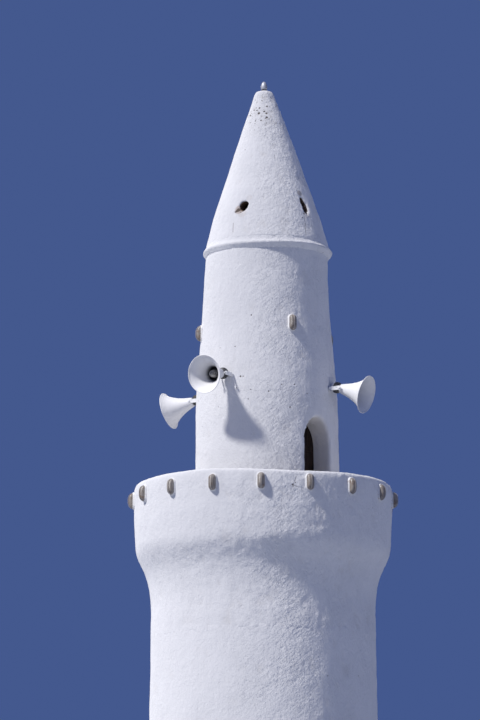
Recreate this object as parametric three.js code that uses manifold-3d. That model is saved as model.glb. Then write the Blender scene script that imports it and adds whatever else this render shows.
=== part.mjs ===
// A whitewashed round minaret: a tower, a bowl-shaped gallery with a parapet, a shaft with an arched doorway,
// a hollow cone on a ring moulding, oval bulkhead lamps and four horn loudspeakers on tilting brackets.
// Millimetres, +Z up, the origin on the tower's axis at ground level. An azimuth turns from the front (-Y)
// towards +X. What stands out of a wall is first made as if on the front, then turned to its azimuth.
import * as THREE from "three";
import { mergeVertices } from "three/addons/utils/BufferGeometryUtils.js";
import Module from "manifold-3d";

const wasm = await Module();
wasm.setup();

// Driving dimensions

const GAP = 0.3; // between neighbours that meet on a cut or a turned face
const REACH = 2500; // beyond every wall, for the shapes that cut

const TOWER = { footRadius: 1520, neckRadius: 1424, innerRadius: 900, height: 7000, sides: 48 };
const TOWER_CUTS = [-60, 60, 180]; // azimuths of the joints between its segments
const ARCH_STEPS = 14; // facets round a doorway's head
const GROUND_FLOOR = { thickness: 150, thresholdRadius: 1490 };
const GROUND_DOORWAY = { azimuth: 180, width: 700, height: 1900, headSpread: 120 };

const GALLERY_FLOOR = { radius: 1100, underside: 7500, level: 7720 };
const PARAPET = { innerRadius: 1450, rim: 8580, edgeRound: 25, edgeMiddle: 7.5 };
const DRUM_OUTLINE = [
  // radius and height, from the neck under the bowl to the upright parapet
  [TOWER.neckRadius, TOWER.height],
  [1436, 7180],
  [1465, 7350],
  [1502, 7470],
  [1552, 7580],
  [1607, 7700],
  [1625, 7770],
  [1633, 7880],
  [1645, 8080],
  [1650, 8300],
];
const DRUM_SIDES = 51;
const DRUM_CUTS = [-45, 45, 135, 225];

const SHAFT = { offset: 48, innerRadius: 560, sides: 40 };
const SHAFT_OUTLINE = [
  [934, 7720],
  [923, 8830],
  [916, 9500],
  [891, 10020],
  [857, 10410],
  [825, 10810],
  [805, 11200],
  [791, 11610],
];
const SHAFT_TOP = SHAFT_OUTLINE.at(-1)[1];
const SHAFT_CUTS = [-75, 46, 135, 210]; // the second one runs through the doorway
const DOORWAY = { azimuth: 46, width: 480, height: 1650, headSpread: 90 };
const DOOR_LEAF = { faceDistance: 600, thickness: 45 };

const RING = { height: 150, innerRadius: 600, outerRadius: 834, neckRadius: 800, offset: 64, noseSteps: 4 };
const CONE_FOOT = SHAFT_TOP + RING.height;
const CONE_OUTLINE = [
  [797, CONE_FOOT],
  [767, 11880],
  [696, 12150],
  [607, 12420],
  [514, 12690],
  [419, 12960],
  [323, 13235],
  [233, 13510],
  [140, 13780],
  [118, 13850],
  [70, 13885],
];
const CONE_TOP = CONE_OUTLINE.at(-1)[1];
const CONE = { innerFootRadius: 655, innerTopRadius: 170, innerHeight: 1490, sides: 36, lean: -54, joint: 12600 };
const CONE_CUTS = [10.75, 83.5, 154.5, 297.75]; // between the vents, below the level joint
const VENT = { azimuths: [-26.5, 48, 119, 190, 262], level: 12200, width: 125, height: 145, sides: 12 };
const FINIAL_SIDES = 16;
const FINIAL_OUTLINE = [
  // radius, and height over the cone's top
  [0, 0],
  [20, 0],
  [20, 41],
  [38, 61],
  [38, 104],
  [23, 138],
  [0, 145],
];

const LAMP = { width: 107, height: 213, depth: 88, plate: 16, inset: 9, sunk: 20, arcSteps: 4 };
const DRUM_LAMPS = { count: 17, firstAzimuth: -0.8, level: 8410 };
const SHAFT_LAMPS = { azimuths: [22.6, 111, 192, -81], level: 10600 };

const HORN_PIVOT_RADIUS = 1065; // from the shaft's axis to the tilt pivot
const HORNS = [
  { name: "horn_a", azimuth: -114, level: 9808, tilt: 15 },
  { name: "horn_b", azimuth: -34, level: 9920, tilt: 11 },
  { name: "horn_c", azimuth: 65, level: 9805, tilt: 17 },
  { name: "horn_d", azimuth: 155, level: 9850, tilt: 15 },
];
const BELL_OUTER = [
  // distance from the pivot towards the mouth, and radius
  [-20, 56],
  [22, 68],
  [110, 92],
  [200, 128],
  [270, 167],
  [320, 208],
  [345, 240],
];
const CUP_OUTLINE = [
  // the stem that rises from the bell's floor, and the reflecting cup on it
  [26, 26],
  [120, 26],
  [130, 50],
  [165, 62],
  [187, 50],
  [205, 19],
  [205, 0],
];
const BELL = { wall: 4, lip: 5, sides: 18 };
const DRIVER_OUTLINE = [
  // from its back plate to its neck under the bell
  [-112, 0],
  [-112, 59],
  [-98, 74],
  [-46, 74],
  [-28, 50],
  [-20 - GAP, 50],
  [-20 - GAP, 0],
];
const BRACKET = { strapWidth: 50, strap: 5, armSpread: 97, armBeyondPivot: 25, offWall: 6 };
const WALL_PAD = { radius: 28, depth: 40, sides: 16 };
const PIVOT = { pinRadius: 5, holeRadius: 6, knobRadius: 15, knobStart: 99, knobEnd: 112, sides: 12 };

// Solids, cuts and joins

const turn = THREE.MathUtils.degToRad;

function solidOf(geometry) {
  const bare = geometry.index ? geometry.toNonIndexed() : geometry.clone();
  bare.deleteAttribute("normal");
  bare.deleteAttribute("uv");
  const merged = mergeVertices(bare, 1e-3);
  const corners = merged.index.array;
  const kept = [];
  for (let i = 0; i < corners.length; i += 3) {
    const [a, b, c] = [corners[i], corners[i + 1], corners[i + 2]];
    if (a !== b && b !== c && c !== a) kept.push(a, b, c);
  }
  const mesh = new wasm.Mesh({
    numProp: 3,
    vertProperties: merged.attributes.position.array,
    triVerts: new Uint32Array(kept),
  });
  return new wasm.Manifold(mesh);
}

function geometryOf(solid) {
  const mesh = solid.getMesh();
  const geometry = new THREE.BufferGeometry();
  geometry.setAttribute("position", new THREE.BufferAttribute(mesh.vertProperties, 3));
  geometry.setIndex(new THREE.BufferAttribute(mesh.triVerts, 1));
  const faceted = geometry.toNonIndexed();
  faceted.computeVertexNormals();
  return faceted;
}

// A turned shape about the Z axis, from an outline of [radius, height] that runs up its outside.
function turned(outline, sides) {
  const points = outline.map(([radius, height]) => new THREE.Vector2(radius, height));
  return new THREE.LatheGeometry(points, sides).rotateX(Math.PI / 2);
}

function turnedSolid(outline, sides) {
  return solidOf(turned(outline, sides));
}

function closedOutline(outline) {
  return [...outline, outline[0]];
}

function ringOutline(outer, innerFoot, innerTop = innerFoot) {
  return closedOutline([...outer, [innerTop, outer.at(-1)[1]], [innerFoot, outer[0][1]]]);
}

// The spans of azimuth between neighbouring cuts, once round the axis.
function spansOf(cuts) {
  return cuts.map((cut, i) => [cut, i + 1 < cuts.length ? cuts[i + 1] : cuts[0] + 360]);
}

function discOutline(radius, low, high) {
  return [
    [0, low],
    [radius, low],
    [radius, high],
    [0, high],
  ];
}

function extruded(shape, depth, arcSteps = ARCH_STEPS) {
  return new THREE.ExtrudeGeometry(shape, { depth, bevelEnabled: false, curveSegments: arcSteps });
}

// A wedge of full height between two azimuths, drawn in by half a gap at each of its two faces.
function wedge(from, to) {
  const half = turn(to - from) / 2;
  const middle = turn(from) + half;
  const apex = GAP / 2 / Math.sin(half);
  const rim = (2 * REACH) / Math.cos(half / 2);
  const place = (azimuth, radius) => [
    radius * Math.sin(azimuth) + apex * Math.sin(middle),
    -radius * Math.cos(azimuth) - apex * Math.cos(middle),
  ];
  const shape = new THREE.Shape();
  shape.moveTo(...place(middle, 0));
  shape.lineTo(...place(middle - half, 2 * REACH));
  shape.lineTo(...place(middle, rim));
  shape.lineTo(...place(middle + half, 2 * REACH));
  shape.closePath();
  return solidOf(extruded(shape, CONE_TOP));
}

// A box that runs out from the axis at an azimuth.
function slab(azimuth, width, low, high) {
  const box = new THREE.BoxGeometry(width, REACH, high - low);
  box.translate(0, -REACH / 2, (low + high) / 2);
  return solidOf(box.rotateZ(turn(azimuth)));
}

// An outline with upright sides and a round head, standing on height zero.
function archShape(width, height) {
  const radius = width / 2;
  const shape = new THREE.Shape();
  shape.moveTo(-radius, 0);
  shape.lineTo(radius, 0);
  shape.lineTo(radius, height - radius);
  shape.absarc(0, height - radius, radius, 0, Math.PI, false);
  shape.closePath();
  return shape;
}

// A round-headed prism that runs out from one distance to another at an azimuth.
function archPrism(azimuth, width, height, foot, near, far) {
  const prism = extruded(archShape(width, height), far - near);
  prism.rotateX(Math.PI / 2).translate(0, -near, foot);
  return solidOf(prism.rotateZ(turn(azimuth)));
}

function atAzimuth(geometry, azimuth) {
  return geometry.rotateZ(turn(azimuth));
}

// Finishes

const finish = (color, roughness, metalness = 0) => new THREE.MeshStandardMaterial({ color, roughness, metalness });
const WHITEWASH = finish("#e9ebf0", 0.9);
const FLOOR_SCREED = finish("#c9c4ba", 0.9);
const LAMP_GLASS = finish("#b3a692", 0.5);
const HORN_WHITE = finish("#e4e5e8", 0.45);
const DRIVER_BLACK = finish("#26272b", 0.5);
const BRACKET_STEEL = finish("#a3a4a8", 0.5, 0.6);
const FINIAL_METAL = finish("#8d9197", 0.45, 0.6);
const DOOR_WOOD = finish("#6d533c", 0.75);

const minaret = new THREE.Group();

function addPiece(name, solid, material, parent = minaret) {
  const piece = new THREE.Mesh(geometryOf(solid), material);
  piece.name = name;
  parent.add(piece);
}

// Tower and its ground floor

const SIDE_NAMES = ["front", "right", "back", "left"];

// A doorway's head: the block over its springing, wider than the doorway, that carries the arch.
function headBlock(doorway, foot, top, gap = 0) {
  const springing = foot + doorway.height - doorway.width / 2;
  return slab(doorway.azimuth, doorway.width + 2 * (doorway.headSpread + gap), springing - gap, top);
}

function addTower() {
  const { footRadius, neckRadius, innerRadius, height, sides } = TOWER;
  const outer = [
    [footRadius, 0],
    [neckRadius, height],
  ];
  const wall = turnedSolid(ringOutline(outer, innerRadius), sides);
  const foot = GROUND_FLOOR.thickness;
  const { azimuth, width, height: doorHeight } = GROUND_DOORWAY;
  const passage = archPrism(azimuth, width, doorHeight, foot, 0, REACH).add(slab(azimuth, width, -1, foot + 1));
  const opened = wall.subtract(passage);
  const head = headBlock(GROUND_DOORWAY, foot, height);
  const beside = opened.subtract(headBlock(GROUND_DOORWAY, foot, height + 1, GAP));
  const names = ["front", "right", "left"];
  spansOf(TOWER_CUTS).forEach((span, i) => {
    addPiece(`tower_wall_${names[i]}`, beside.intersect(wedge(...span)), WHITEWASH);
  });
  addPiece("tower_wall_over_doorway", opened.intersect(head), WHITEWASH);

  const disc = turnedSolid(discOutline(innerRadius - 2 * GAP, 0, foot), sides);
  const thresholdDisc = turnedSolid(discOutline(GROUND_FLOOR.thresholdRadius, 0, foot), sides);
  const threshold = slab(azimuth, width - 2 * GAP, 0, foot).intersect(thresholdDisc);
  addPiece("ground_floor", disc.add(threshold), FLOOR_SCREED);
}

// Gallery: the floor slab, the bowl that carries it on a ledge, and the parapet

function drumOutline() {
  const { rim, edgeRound, edgeMiddle } = PARAPET;
  const radius = DRUM_OUTLINE.at(-1)[0];
  return [...DRUM_OUTLINE, [radius, rim - edgeRound], [radius - edgeMiddle, rim - edgeMiddle]];
}

function addGallery() {
  const { innerRadius, rim, edgeRound } = PARAPET;
  const { radius, underside, level } = GALLERY_FLOOR;
  const floorSlab = turnedSolid(discOutline(radius, underside, level), DRUM_SIDES);
  addPiece("gallery_floor", floorSlab, FLOOR_SCREED);

  const outer = drumOutline();
  const rimRadius = DRUM_OUTLINE.at(-1)[0] - edgeRound;
  const drum = turnedSolid([[0, TOWER.height], ...outer, [rimRadius, rim], [0, rim]], DRUM_SIDES);
  const below = turnedSolid(discOutline(REACH, TOWER.height - 1, level), DRUM_SIDES);
  const floorSeat = turnedSolid(discOutline(radius + GAP, underside, level), DRUM_SIDES);
  const bore = turnedSolid(discOutline(TOWER.innerRadius, TOWER.height - 1, level), DRUM_SIDES);
  const well = turnedSolid(
    [
      [0, level - 1],
      [innerRadius, level - 1],
      [innerRadius, rim - edgeRound],
      [innerRadius + edgeRound, rim],
      [innerRadius + edgeRound, rim + 10],
      [0, rim + 10],
    ],
    DRUM_SIDES,
  );
  const bowl = drum.intersect(below).subtract(floorSeat.add(bore));
  const parapet = drum.subtract(below).subtract(well);
  spansOf(DRUM_CUTS).forEach((span, i) => {
    const sector = wedge(...span);
    addPiece(`bowl_${SIDE_NAMES[i]}`, bowl.intersect(sector), WHITEWASH);
    addPiece(`parapet_${SIDE_NAMES[i]}`, parapet.intersect(sector), WHITEWASH);
  });
}

// Shaft, its doorway and the leaf in it

const shaft = new THREE.Group();
shaft.position.x = SHAFT.offset;
minaret.add(shaft);

function addShaft() {
  const foot = GALLERY_FLOOR.level;
  const { azimuth, width, height } = DOORWAY;
  const wall = turnedSolid(ringOutline(SHAFT_OUTLINE, SHAFT.innerRadius), SHAFT.sides);
  const passage = archPrism(azimuth, width, height + 10, foot - 10, 0, REACH);
  const opened = wall.subtract(passage);
  const beside = opened.subtract(headBlock(DOORWAY, foot, SHAFT_TOP + 1, GAP));
  spansOf(SHAFT_CUTS).forEach((span, i) => {
    addPiece(`shaft_wall_${SIDE_NAMES[i]}`, beside.intersect(wedge(...span)), WHITEWASH, shaft);
  });
  addPiece("shaft_wall_over_doorway", opened.intersect(headBlock(DOORWAY, foot, SHAFT_TOP)), WHITEWASH, shaft);

  const { faceDistance, thickness } = DOOR_LEAF;
  const leaf = archPrism(azimuth, width - 2 * GAP, height - GAP, foot, faceDistance - thickness, faceDistance);
  addPiece("gallery_door_leaf", leaf, DOOR_WOOD, shaft);
}

// Ring moulding, cone and finial

const crown = new THREE.Group();
crown.position.x = RING.offset;
minaret.add(crown);

function addCrown() {
  const { height, innerRadius, outerRadius, neckRadius, noseSteps } = RING;
  const bulge = outerRadius - neckRadius;
  const nose = Array.from({ length: noseSteps + 1 }, (_, i) => {
    const angle = Math.PI * (i / noseSteps - 0.5);
    return [neckRadius + bulge * Math.cos(angle), SHAFT_TOP + (height / 2) * (1 + Math.sin(angle))];
  });
  addPiece("ring_moulding", turnedSolid(ringOutline(nose, innerRadius), SHAFT.sides), WHITEWASH, crown);

  const inner = [
    [CONE.innerTopRadius, CONE_FOOT + CONE.innerHeight],
    [CONE.innerFootRadius, CONE_FOOT],
  ];
  const shell = turnedSolid(closedOutline([...CONE_OUTLINE, [0, CONE_TOP], [0, inner[0][1]], ...inner]), CONE.sides);
  const cone = VENT.azimuths.reduce((left, azimuth) => left.subtract(ventHole(azimuth)), shell);
  const [tip, band] = cone.splitByPlane([0, 0, 1], CONE.joint);
  const lean = new THREE.Matrix4().makeShear(0, 0, 0, 0, CONE.lean / (CONE_TOP - CONE_FOOT), 0);
  const upright = new THREE.Matrix4().makeTranslation(0, 0, CONE_FOOT);
  const leaning = upright.clone().multiply(lean).multiply(upright.clone().invert());
  const addLeaning = (name, solid) => {
    addPiece(`cone_cap_${name}`, solidOf(geometryOf(solid).applyMatrix4(leaning)), WHITEWASH, crown);
  };
  const names = ["right", "back_right", "back", "front"];
  spansOf(CONE_CUTS).forEach((span, i) => addLeaning(names[i], band.intersect(wedge(...span))));
  addLeaning("tip", tip);

  const finial = turnedSolid(FINIAL_OUTLINE, FINIAL_SIDES);
  addPiece("finial", finial.translate([CONE.lean, 0, CONE_TOP]), FINIAL_METAL, crown);
}

function ventHole(azimuth) {
  const { level, width, height, sides } = VENT;
  const hole = new THREE.CylinderGeometry(width / 2, width / 2, REACH, sides);
  hole.scale(1, 1, height / width).translate(0, -REACH / 2, level);
  return solidOf(atAzimuth(hole, azimuth));
}

// Oval bulkhead lamps

function ovalShape(width, height) {
  const radius = width / 2;
  const straight = height / 2 - radius;
  const shape = new THREE.Shape();
  shape.moveTo(radius, -straight);
  shape.lineTo(radius, straight);
  shape.absarc(0, straight, radius, 0, Math.PI, false);
  shape.lineTo(-radius, -straight);
  shape.absarc(0, -straight, radius, Math.PI, 2 * Math.PI, false);
  return shape;
}

// A lamp on the front, its back against the distance given. It starts behind the wall's face.
function lampSolid(distance, level) {
  const { width, height, depth, plate, inset, sunk, arcSteps } = LAMP;
  const back = extruded(ovalShape(width, height), plate + sunk, arcSteps);
  const rounding = inset * 2;
  const drawnIn = 2 * (inset + rounding);
  const cover = new THREE.ExtrudeGeometry(ovalShape(width - drawnIn, height - drawnIn), {
    depth: depth - plate - rounding + sunk,
    bevelThickness: rounding,
    bevelSize: rounding,
    bevelSegments: 1,
    curveSegments: arcSteps,
  });
  const standing = (geometry, start) => solidOf(geometry.rotateX(Math.PI / 2).translate(0, start - distance, level));
  return standing(back, sunk).add(standing(cover, sunk - plate));
}

function seatEnvelope(outline, sides) {
  const wider = outline.map(([radius, height]) => [radius + GAP, height]);
  return turnedSolid([[0, outline[0][1]], ...wider, [0, outline.at(-1)[1]]], sides);
}

function addFixture(name, solid, azimuth, envelope, material, parent) {
  const placed = solid.rotate([0, 0, azimuth]).subtract(envelope);
  addPiece(name, placed, material, parent);
}

function radiusAt(outline, level) {
  const above = outline.findIndex(([, height]) => height >= level);
  const [[lowRadius, low], [highRadius, high]] = [outline[above - 1], outline[above]];
  return lowRadius + ((highRadius - lowRadius) * (level - low)) / (high - low);
}

function addLamps() {
  const drumEnvelope = seatEnvelope(drumOutline(), DRUM_SIDES);
  const drumRadius = DRUM_OUTLINE.at(-1)[0];
  for (let i = 0; i < DRUM_LAMPS.count; i++) {
    const azimuth = DRUM_LAMPS.firstAzimuth + (i * 360) / DRUM_LAMPS.count;
    const name = `drum_lamp_${String(i + 1).padStart(2, "0")}`;
    addFixture(name, lampSolid(drumRadius, DRUM_LAMPS.level), azimuth, drumEnvelope, LAMP_GLASS, minaret);
  }
  const shaftEnvelope = seatEnvelope(SHAFT_OUTLINE, SHAFT.sides);
  const shaftRadius = radiusAt(SHAFT_OUTLINE, SHAFT_LAMPS.level);
  SHAFT_LAMPS.azimuths.forEach((azimuth, i) => {
    const lamp = lampSolid(shaftRadius, SHAFT_LAMPS.level);
    addFixture(`shaft_lamp_${i + 1}`, lamp, azimuth, shaftEnvelope, LAMP_GLASS, shaft);
  });
}

// Horn loudspeakers

// A shape turned about a horn's own axis, from an outline of [distance towards the mouth, radius].
function turnedAlong(outline, sides) {
  return turnedSolid(outline.map(([along, radius]) => [radius, along]), sides).rotate([90, 0, 0]);
}

// The bell with the reflecting cup on its stem, and its two pivot pins with knobs.
function bellSolid() {
  const { wall, lip, sides } = BELL;
  const [mouth, mouthRadius] = BELL_OUTER.at(-1);
  const inner = BELL_OUTER.slice(2).map(([along, radius]) => [along, radius - wall]);
  const outline = [
    [BELL_OUTER[0][0], 0],
    ...BELL_OUTER,
    [mouth + 2, mouthRadius + lip],
    [mouth + 2 + lip, mouthRadius + lip],
    [mouth + 2 + lip, mouthRadius - wall],
    ...inner.reverse(),
    [CUP_OUTLINE[0][0], BELL_OUTER[1][1] - wall],
    ...CUP_OUTLINE,
  ];
  const bell = turnedAlong(outline, sides);
  const rod = (radius, from, to) => {
    const cylinder = new THREE.CylinderGeometry(radius, radius, to - from, PIVOT.sides);
    return solidOf(cylinder.rotateZ(Math.PI / 2).translate((from + to) / 2, 0, 0));
  };
  const { pinRadius, knobRadius, knobStart, knobEnd } = PIVOT;
  const pin = rod(pinRadius, -knobEnd + 1, knobEnd - 1);
  return bell.add(pin).add(rod(knobRadius, knobStart, knobEnd)).add(rod(knobRadius, -knobEnd, -knobStart));
}

// The U-shaped strap: its back on the wall, an arm on each side of the driver, a hole for each pivot pin.
function bracketSolid(level) {
  const { strapWidth, strap, armSpread, armBeyondPivot, offWall } = BRACKET;
  const wallRadius = radiusAt(SHAFT_OUTLINE, level);
  const back = wallRadius + offWall;
  const tip = HORN_PIVOT_RADIUS + armBeyondPivot;
  const outerBox = new THREE.BoxGeometry(2 * armSpread, tip - back, strapWidth);
  const innerBox = new THREE.BoxGeometry(2 * (armSpread - strap), tip - back, strapWidth + 2);
  outerBox.translate(0, -(tip + back) / 2, level);
  innerBox.translate(0, -(tip + back) / 2 - strap, level);
  const hole = new THREE.CylinderGeometry(PIVOT.holeRadius, PIVOT.holeRadius, 3 * armSpread, PIVOT.sides);
  hole.rotateZ(Math.PI / 2).translate(0, -HORN_PIVOT_RADIUS, level);
  const pad = new THREE.CylinderGeometry(WALL_PAD.radius, WALL_PAD.radius, WALL_PAD.depth, WALL_PAD.sides);
  pad.translate(0, (WALL_PAD.depth - strap) / 2 - back, level);
  return solidOf(outerBox).subtract(solidOf(innerBox)).subtract(solidOf(hole)).add(solidOf(pad));
}

function addHorn({ name, azimuth, level, tilt }) {
  const pivot = new THREE.Group();
  pivot.rotation.set(turn(tilt), 0, turn(azimuth), "ZXY");
  pivot.position.set(HORN_PIVOT_RADIUS * Math.sin(turn(azimuth)), -HORN_PIVOT_RADIUS * Math.cos(turn(azimuth)), level);
  shaft.add(pivot);
  addPiece(`${name}_bell`, bellSolid(), HORN_WHITE, pivot);
  addPiece(`${name}_driver`, turnedAlong(DRIVER_OUTLINE, BELL.sides), DRIVER_BLACK, pivot);
  const envelope = seatEnvelope(SHAFT_OUTLINE, SHAFT.sides);
  addFixture(`${name}_bracket`, bracketSolid(level), azimuth, envelope, BRACKET_STEEL, shaft);
}

addTower();
addGallery();
addShaft();
addCrown();
addLamps();
HORNS.forEach(addHorn);

export default minaret;
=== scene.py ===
# %% [markdown]
# # A whitewashed minaret, dressed round its frame
#
# The frame is a set of plain solids: walls, floors, lamps, horns and a finial, each where it belongs. Here
# every one of them gets the surface that the real building has. All lengths are in metres, +Z is up, and
# the tower's axis stands on the origin. An azimuth is an angle in degrees round that axis, from the front
# (-Y) towards +X.

# %% Load the frame
import math
from collections import namedtuple

import bmesh
import bpy
import numpy as np
from mathutils import Matrix, Vector


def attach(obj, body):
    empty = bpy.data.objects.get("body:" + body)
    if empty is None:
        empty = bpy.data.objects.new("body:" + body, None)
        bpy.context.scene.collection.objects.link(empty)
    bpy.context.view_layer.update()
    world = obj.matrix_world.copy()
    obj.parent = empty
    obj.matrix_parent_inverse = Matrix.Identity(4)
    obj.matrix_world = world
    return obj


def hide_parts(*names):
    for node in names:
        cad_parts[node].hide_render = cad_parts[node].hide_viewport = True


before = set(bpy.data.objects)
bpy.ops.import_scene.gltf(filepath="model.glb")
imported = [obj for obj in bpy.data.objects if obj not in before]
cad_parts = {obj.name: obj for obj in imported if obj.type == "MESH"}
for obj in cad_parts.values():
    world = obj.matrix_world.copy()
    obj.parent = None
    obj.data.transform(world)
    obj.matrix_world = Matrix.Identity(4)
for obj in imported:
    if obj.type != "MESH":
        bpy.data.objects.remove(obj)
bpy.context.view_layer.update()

# %% [markdown]
# ## Camera, light and floor
#
# The tower is seen from far away and from below, with a long lens. A long lens on a distant camera keeps
# the shaft's sides nearly parallel, which no near camera could do. The light is a plain studio light: one
# broad soft key light high on the left, a cool even fill from all round, and a faint warm light from behind
# that shows the back. A gamma above one eases the step between the lit plaster's tones, as a camera does
# near white.

# %% Camera
CAMERA_PLACE = (0.0, -41.0, 1.6)
CAMERA_PITCH = 11.953
CAMERA_YAW = 0.4142
LENS = 161.85
SENSOR_HEIGHT = 36.0
FARTHEST_SEEN = 1000.0
TONE_GAMMA = 1.2

lens = bpy.data.cameras.new("long_lens")
lens.sensor_fit = "VERTICAL"
lens.sensor_height = SENSOR_HEIGHT
lens.lens = LENS
lens.clip_end = FARTHEST_SEEN
camera = bpy.data.objects.new("camera", lens)
camera.location = CAMERA_PLACE
camera.rotation_euler = (math.radians(90 + CAMERA_PITCH), 0, math.radians(CAMERA_YAW))
bpy.context.scene.collection.objects.link(camera)
bpy.context.scene.camera = camera
bpy.context.scene.view_settings.view_transform = "Standard"
bpy.context.scene.view_settings.gamma = TONE_GAMMA
print("camera", CAMERA_PLACE, "lens", LENS)

# %% Light and surroundings
KEY_DIRECTION = (-57.2, 48.8)
KEY_STRENGTH = 4.8
KEY_SPREAD = 6.0
KEY_COLOUR = (1.0, 0.98, 0.99)
BACK_DIRECTION = (180, 25)
BACK_STRENGTH = 0.45
BACK_SPREAD = 25
BACK_COLOUR = (1.0, 0.93, 0.86)
FILL_COLOUR = (0.115, 0.215, 0.70, 1)
FILL_STRENGTH = 0.30


def direction_of(azimuth, elevation=0.0):
    """A unit vector that points out at an azimuth and up at an elevation."""
    around, up = math.radians(azimuth), math.radians(elevation)
    return Vector((math.sin(around) * math.cos(up), -math.cos(around) * math.cos(up), math.sin(up)))


def distant_light(name, direction, strength, spread, colour):
    """A light from far away. Its rays spread by a few degrees, which softens the shadows."""
    light = bpy.data.lights.new(name, "SUN")
    light.energy = strength
    light.angle = math.radians(spread)
    light.color = colour
    lamp = bpy.data.objects.new(name, light)
    lamp.rotation_euler = direction_of(*direction).to_track_quat("Z", "Y").to_euler()
    bpy.context.scene.collection.objects.link(lamp)


distant_light("key light", KEY_DIRECTION, KEY_STRENGTH, KEY_SPREAD, KEY_COLOUR)
distant_light("back light", BACK_DIRECTION, BACK_STRENGTH, BACK_SPREAD, BACK_COLOUR)

surroundings = bpy.data.worlds.new("cool fill")
surroundings.use_nodes = True
background = surroundings.node_tree.nodes["Background"]
background.inputs["Color"].default_value = FILL_COLOUR
background.inputs["Strength"].default_value = FILL_STRENGTH
bpy.context.scene.world = surroundings
print("key light comes from", [round(v, 3) for v in direction_of(*KEY_DIRECTION)])

# %% [markdown]
# ## Small tools for node trees
#
# Materials and Geometry Nodes are both trees of nodes, so the same few helpers serve both. Each one adds a
# node, sets its sockets, and hands back the output that the next node needs.

# %% Nodes, sums and directions


def add_node(tree, kind, values=None, **settings):
    """A new node. values sets its sockets, by name or place, to plain values or to other nodes' outputs."""
    node = tree.nodes.new(kind)
    for name, value in settings.items():
        setattr(node, name, value)
    for socket, value in (values or {}).items():
        if isinstance(value, bpy.types.NodeSocket):
            tree.links.new(value, node.inputs[socket])
        else:
            node.inputs[socket].default_value = value
    return node


def maths(tree, operation, first, second=0.0):
    return add_node(tree, "ShaderNodeMath", {0: first, 1: second}, operation=operation).outputs[0]


def times(tree, first, second):
    return maths(tree, "MULTIPLY", first, second)


def vector_maths(tree, operation, first, second=(0, 0, 0)):
    return add_node(tree, "ShaderNodeVectorMath", {0: first, 1: second}, operation=operation).outputs


def dot(tree, first, second):
    return vector_maths(tree, "DOT_PRODUCT", first, second)["Value"]


def distance_between(tree, first, second):
    return vector_maths(tree, "DISTANCE", first, second)["Value"]


def scaled(tree, direction, amount):
    values = {0: direction, "Scale": amount}
    return add_node(tree, "ShaderNodeVectorMath", values, operation="SCALE").outputs[0]


def total(tree, *terms):
    """The sum of several outputs."""
    added = terms[0]
    for term in terms[1:]:
        added = maths(tree, "ADD", added, term)
    return added


# %% Soft steps and noise


def remap(tree, value, low, high, to_low=0.0, to_high=1.0):
    """A soft step: to_low at low, to_high at high, and level beyond both."""
    values = {0: value, 1: low, 2: high, 3: to_low, 4: to_high}
    return add_node(tree, "ShaderNodeMapRange", values, interpolation_type="SMOOTHSTEP").outputs[0]


def noise(tree, place, scale, detail=2.0, roughness=0.5, seed=0.0, distortion=0.0):
    """Cloudy noise between about 0 and 1, whose lumps are about one over the scale wide."""
    values = {
        "Vector": place,
        "W": seed,
        "Scale": scale,
        "Detail": detail,
        "Roughness": roughness,
        "Distortion": distortion,
    }
    return add_node(tree, "ShaderNodeTexNoise", values, noise_dimensions="4D").outputs[0]


def swing(tree, cloud, reach):
    """Noise turned into a rise and fall of up to about the reach."""
    centred = maths(tree, "SUBTRACT", cloud, 0.5)
    return times(tree, times(tree, centred, 2.0), reach)


def stretched(tree, place, across, up):
    """The same place with its scale changed across and up, so that a pattern on it becomes long or flat."""
    return vector_maths(tree, "MULTIPLY", place, (across, across, up))[0]


# %% Colours and materials


def mixed(tree, share, first, second):
    """Two colours, blended by a share from 0 to 1."""
    return add_node(tree, "ShaderNodeMix", {0: share, 6: first, 7: second}, data_type="RGBA").outputs[2]


def tinted(tree, colour, tint, share, strength):
    """A colour with a tint laid over it, where the share says and as strongly as the strength says."""
    return mixed(tree, times(tree, share, strength), colour, tint)


def rgb(red, green, blue):
    return (red, green, blue, 1.0)


def new_material(name):
    """An empty material: its tree, its shader, and the Object coordinates that its patterns read."""
    material = bpy.data.materials.new(name)
    material.use_nodes = True
    tree = material.node_tree
    shader = tree.nodes["Principled BSDF"]
    place = add_node(tree, "ShaderNodeTexCoord").outputs["Object"]
    return material, tree, shader, place


def height_of(tree, place):
    return add_node(tree, "ShaderNodeSeparateXYZ", {0: place}).outputs["Z"]


def attribute(tree, name):
    return add_node(tree, "ShaderNodeAttribute", attribute_name=name).outputs["Fac"]


def finish_surface(tree, shader, colour, roughness, height):
    """Joins a colour, a roughness and a height in metres to the shader."""
    bump = add_node(tree, "ShaderNodeBump", {"Strength": 1.0, "Distance": 1.0, "Height": height})
    tree.links.new(colour, shader.inputs["Base Color"])
    tree.links.new(bump.outputs["Normal"], shader.inputs["Normal"])
    if isinstance(roughness, float):
        shader.inputs["Roughness"].default_value = roughness
    else:
        tree.links.new(roughness, shader.inputs["Roughness"])


# %% [markdown]
# ## The stage floor
#
# A plain pale floor under the tower. It is not part of the building.

# %% Stage floor
FLOOR_REACH = 400.0
FLOOR_DROP = 0.002
FLOOR_GREY = rgb(0.235, 0.26, 0.32)
FLOOR_PALE = rgb(0.25, 0.275, 0.335)

floor_mesh = bpy.data.meshes.new("stage_floor")
corners = [(FLOOR_REACH * x, FLOOR_REACH * y, -FLOOR_DROP) for x, y in ((-1, -1), (1, -1), (1, 1), (-1, 1))]
floor_mesh.from_pydata(corners, [], [(0, 1, 2, 3)])
stage_floor = bpy.data.objects.new("stage_floor", floor_mesh)
bpy.context.scene.collection.objects.link(stage_floor)

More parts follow.
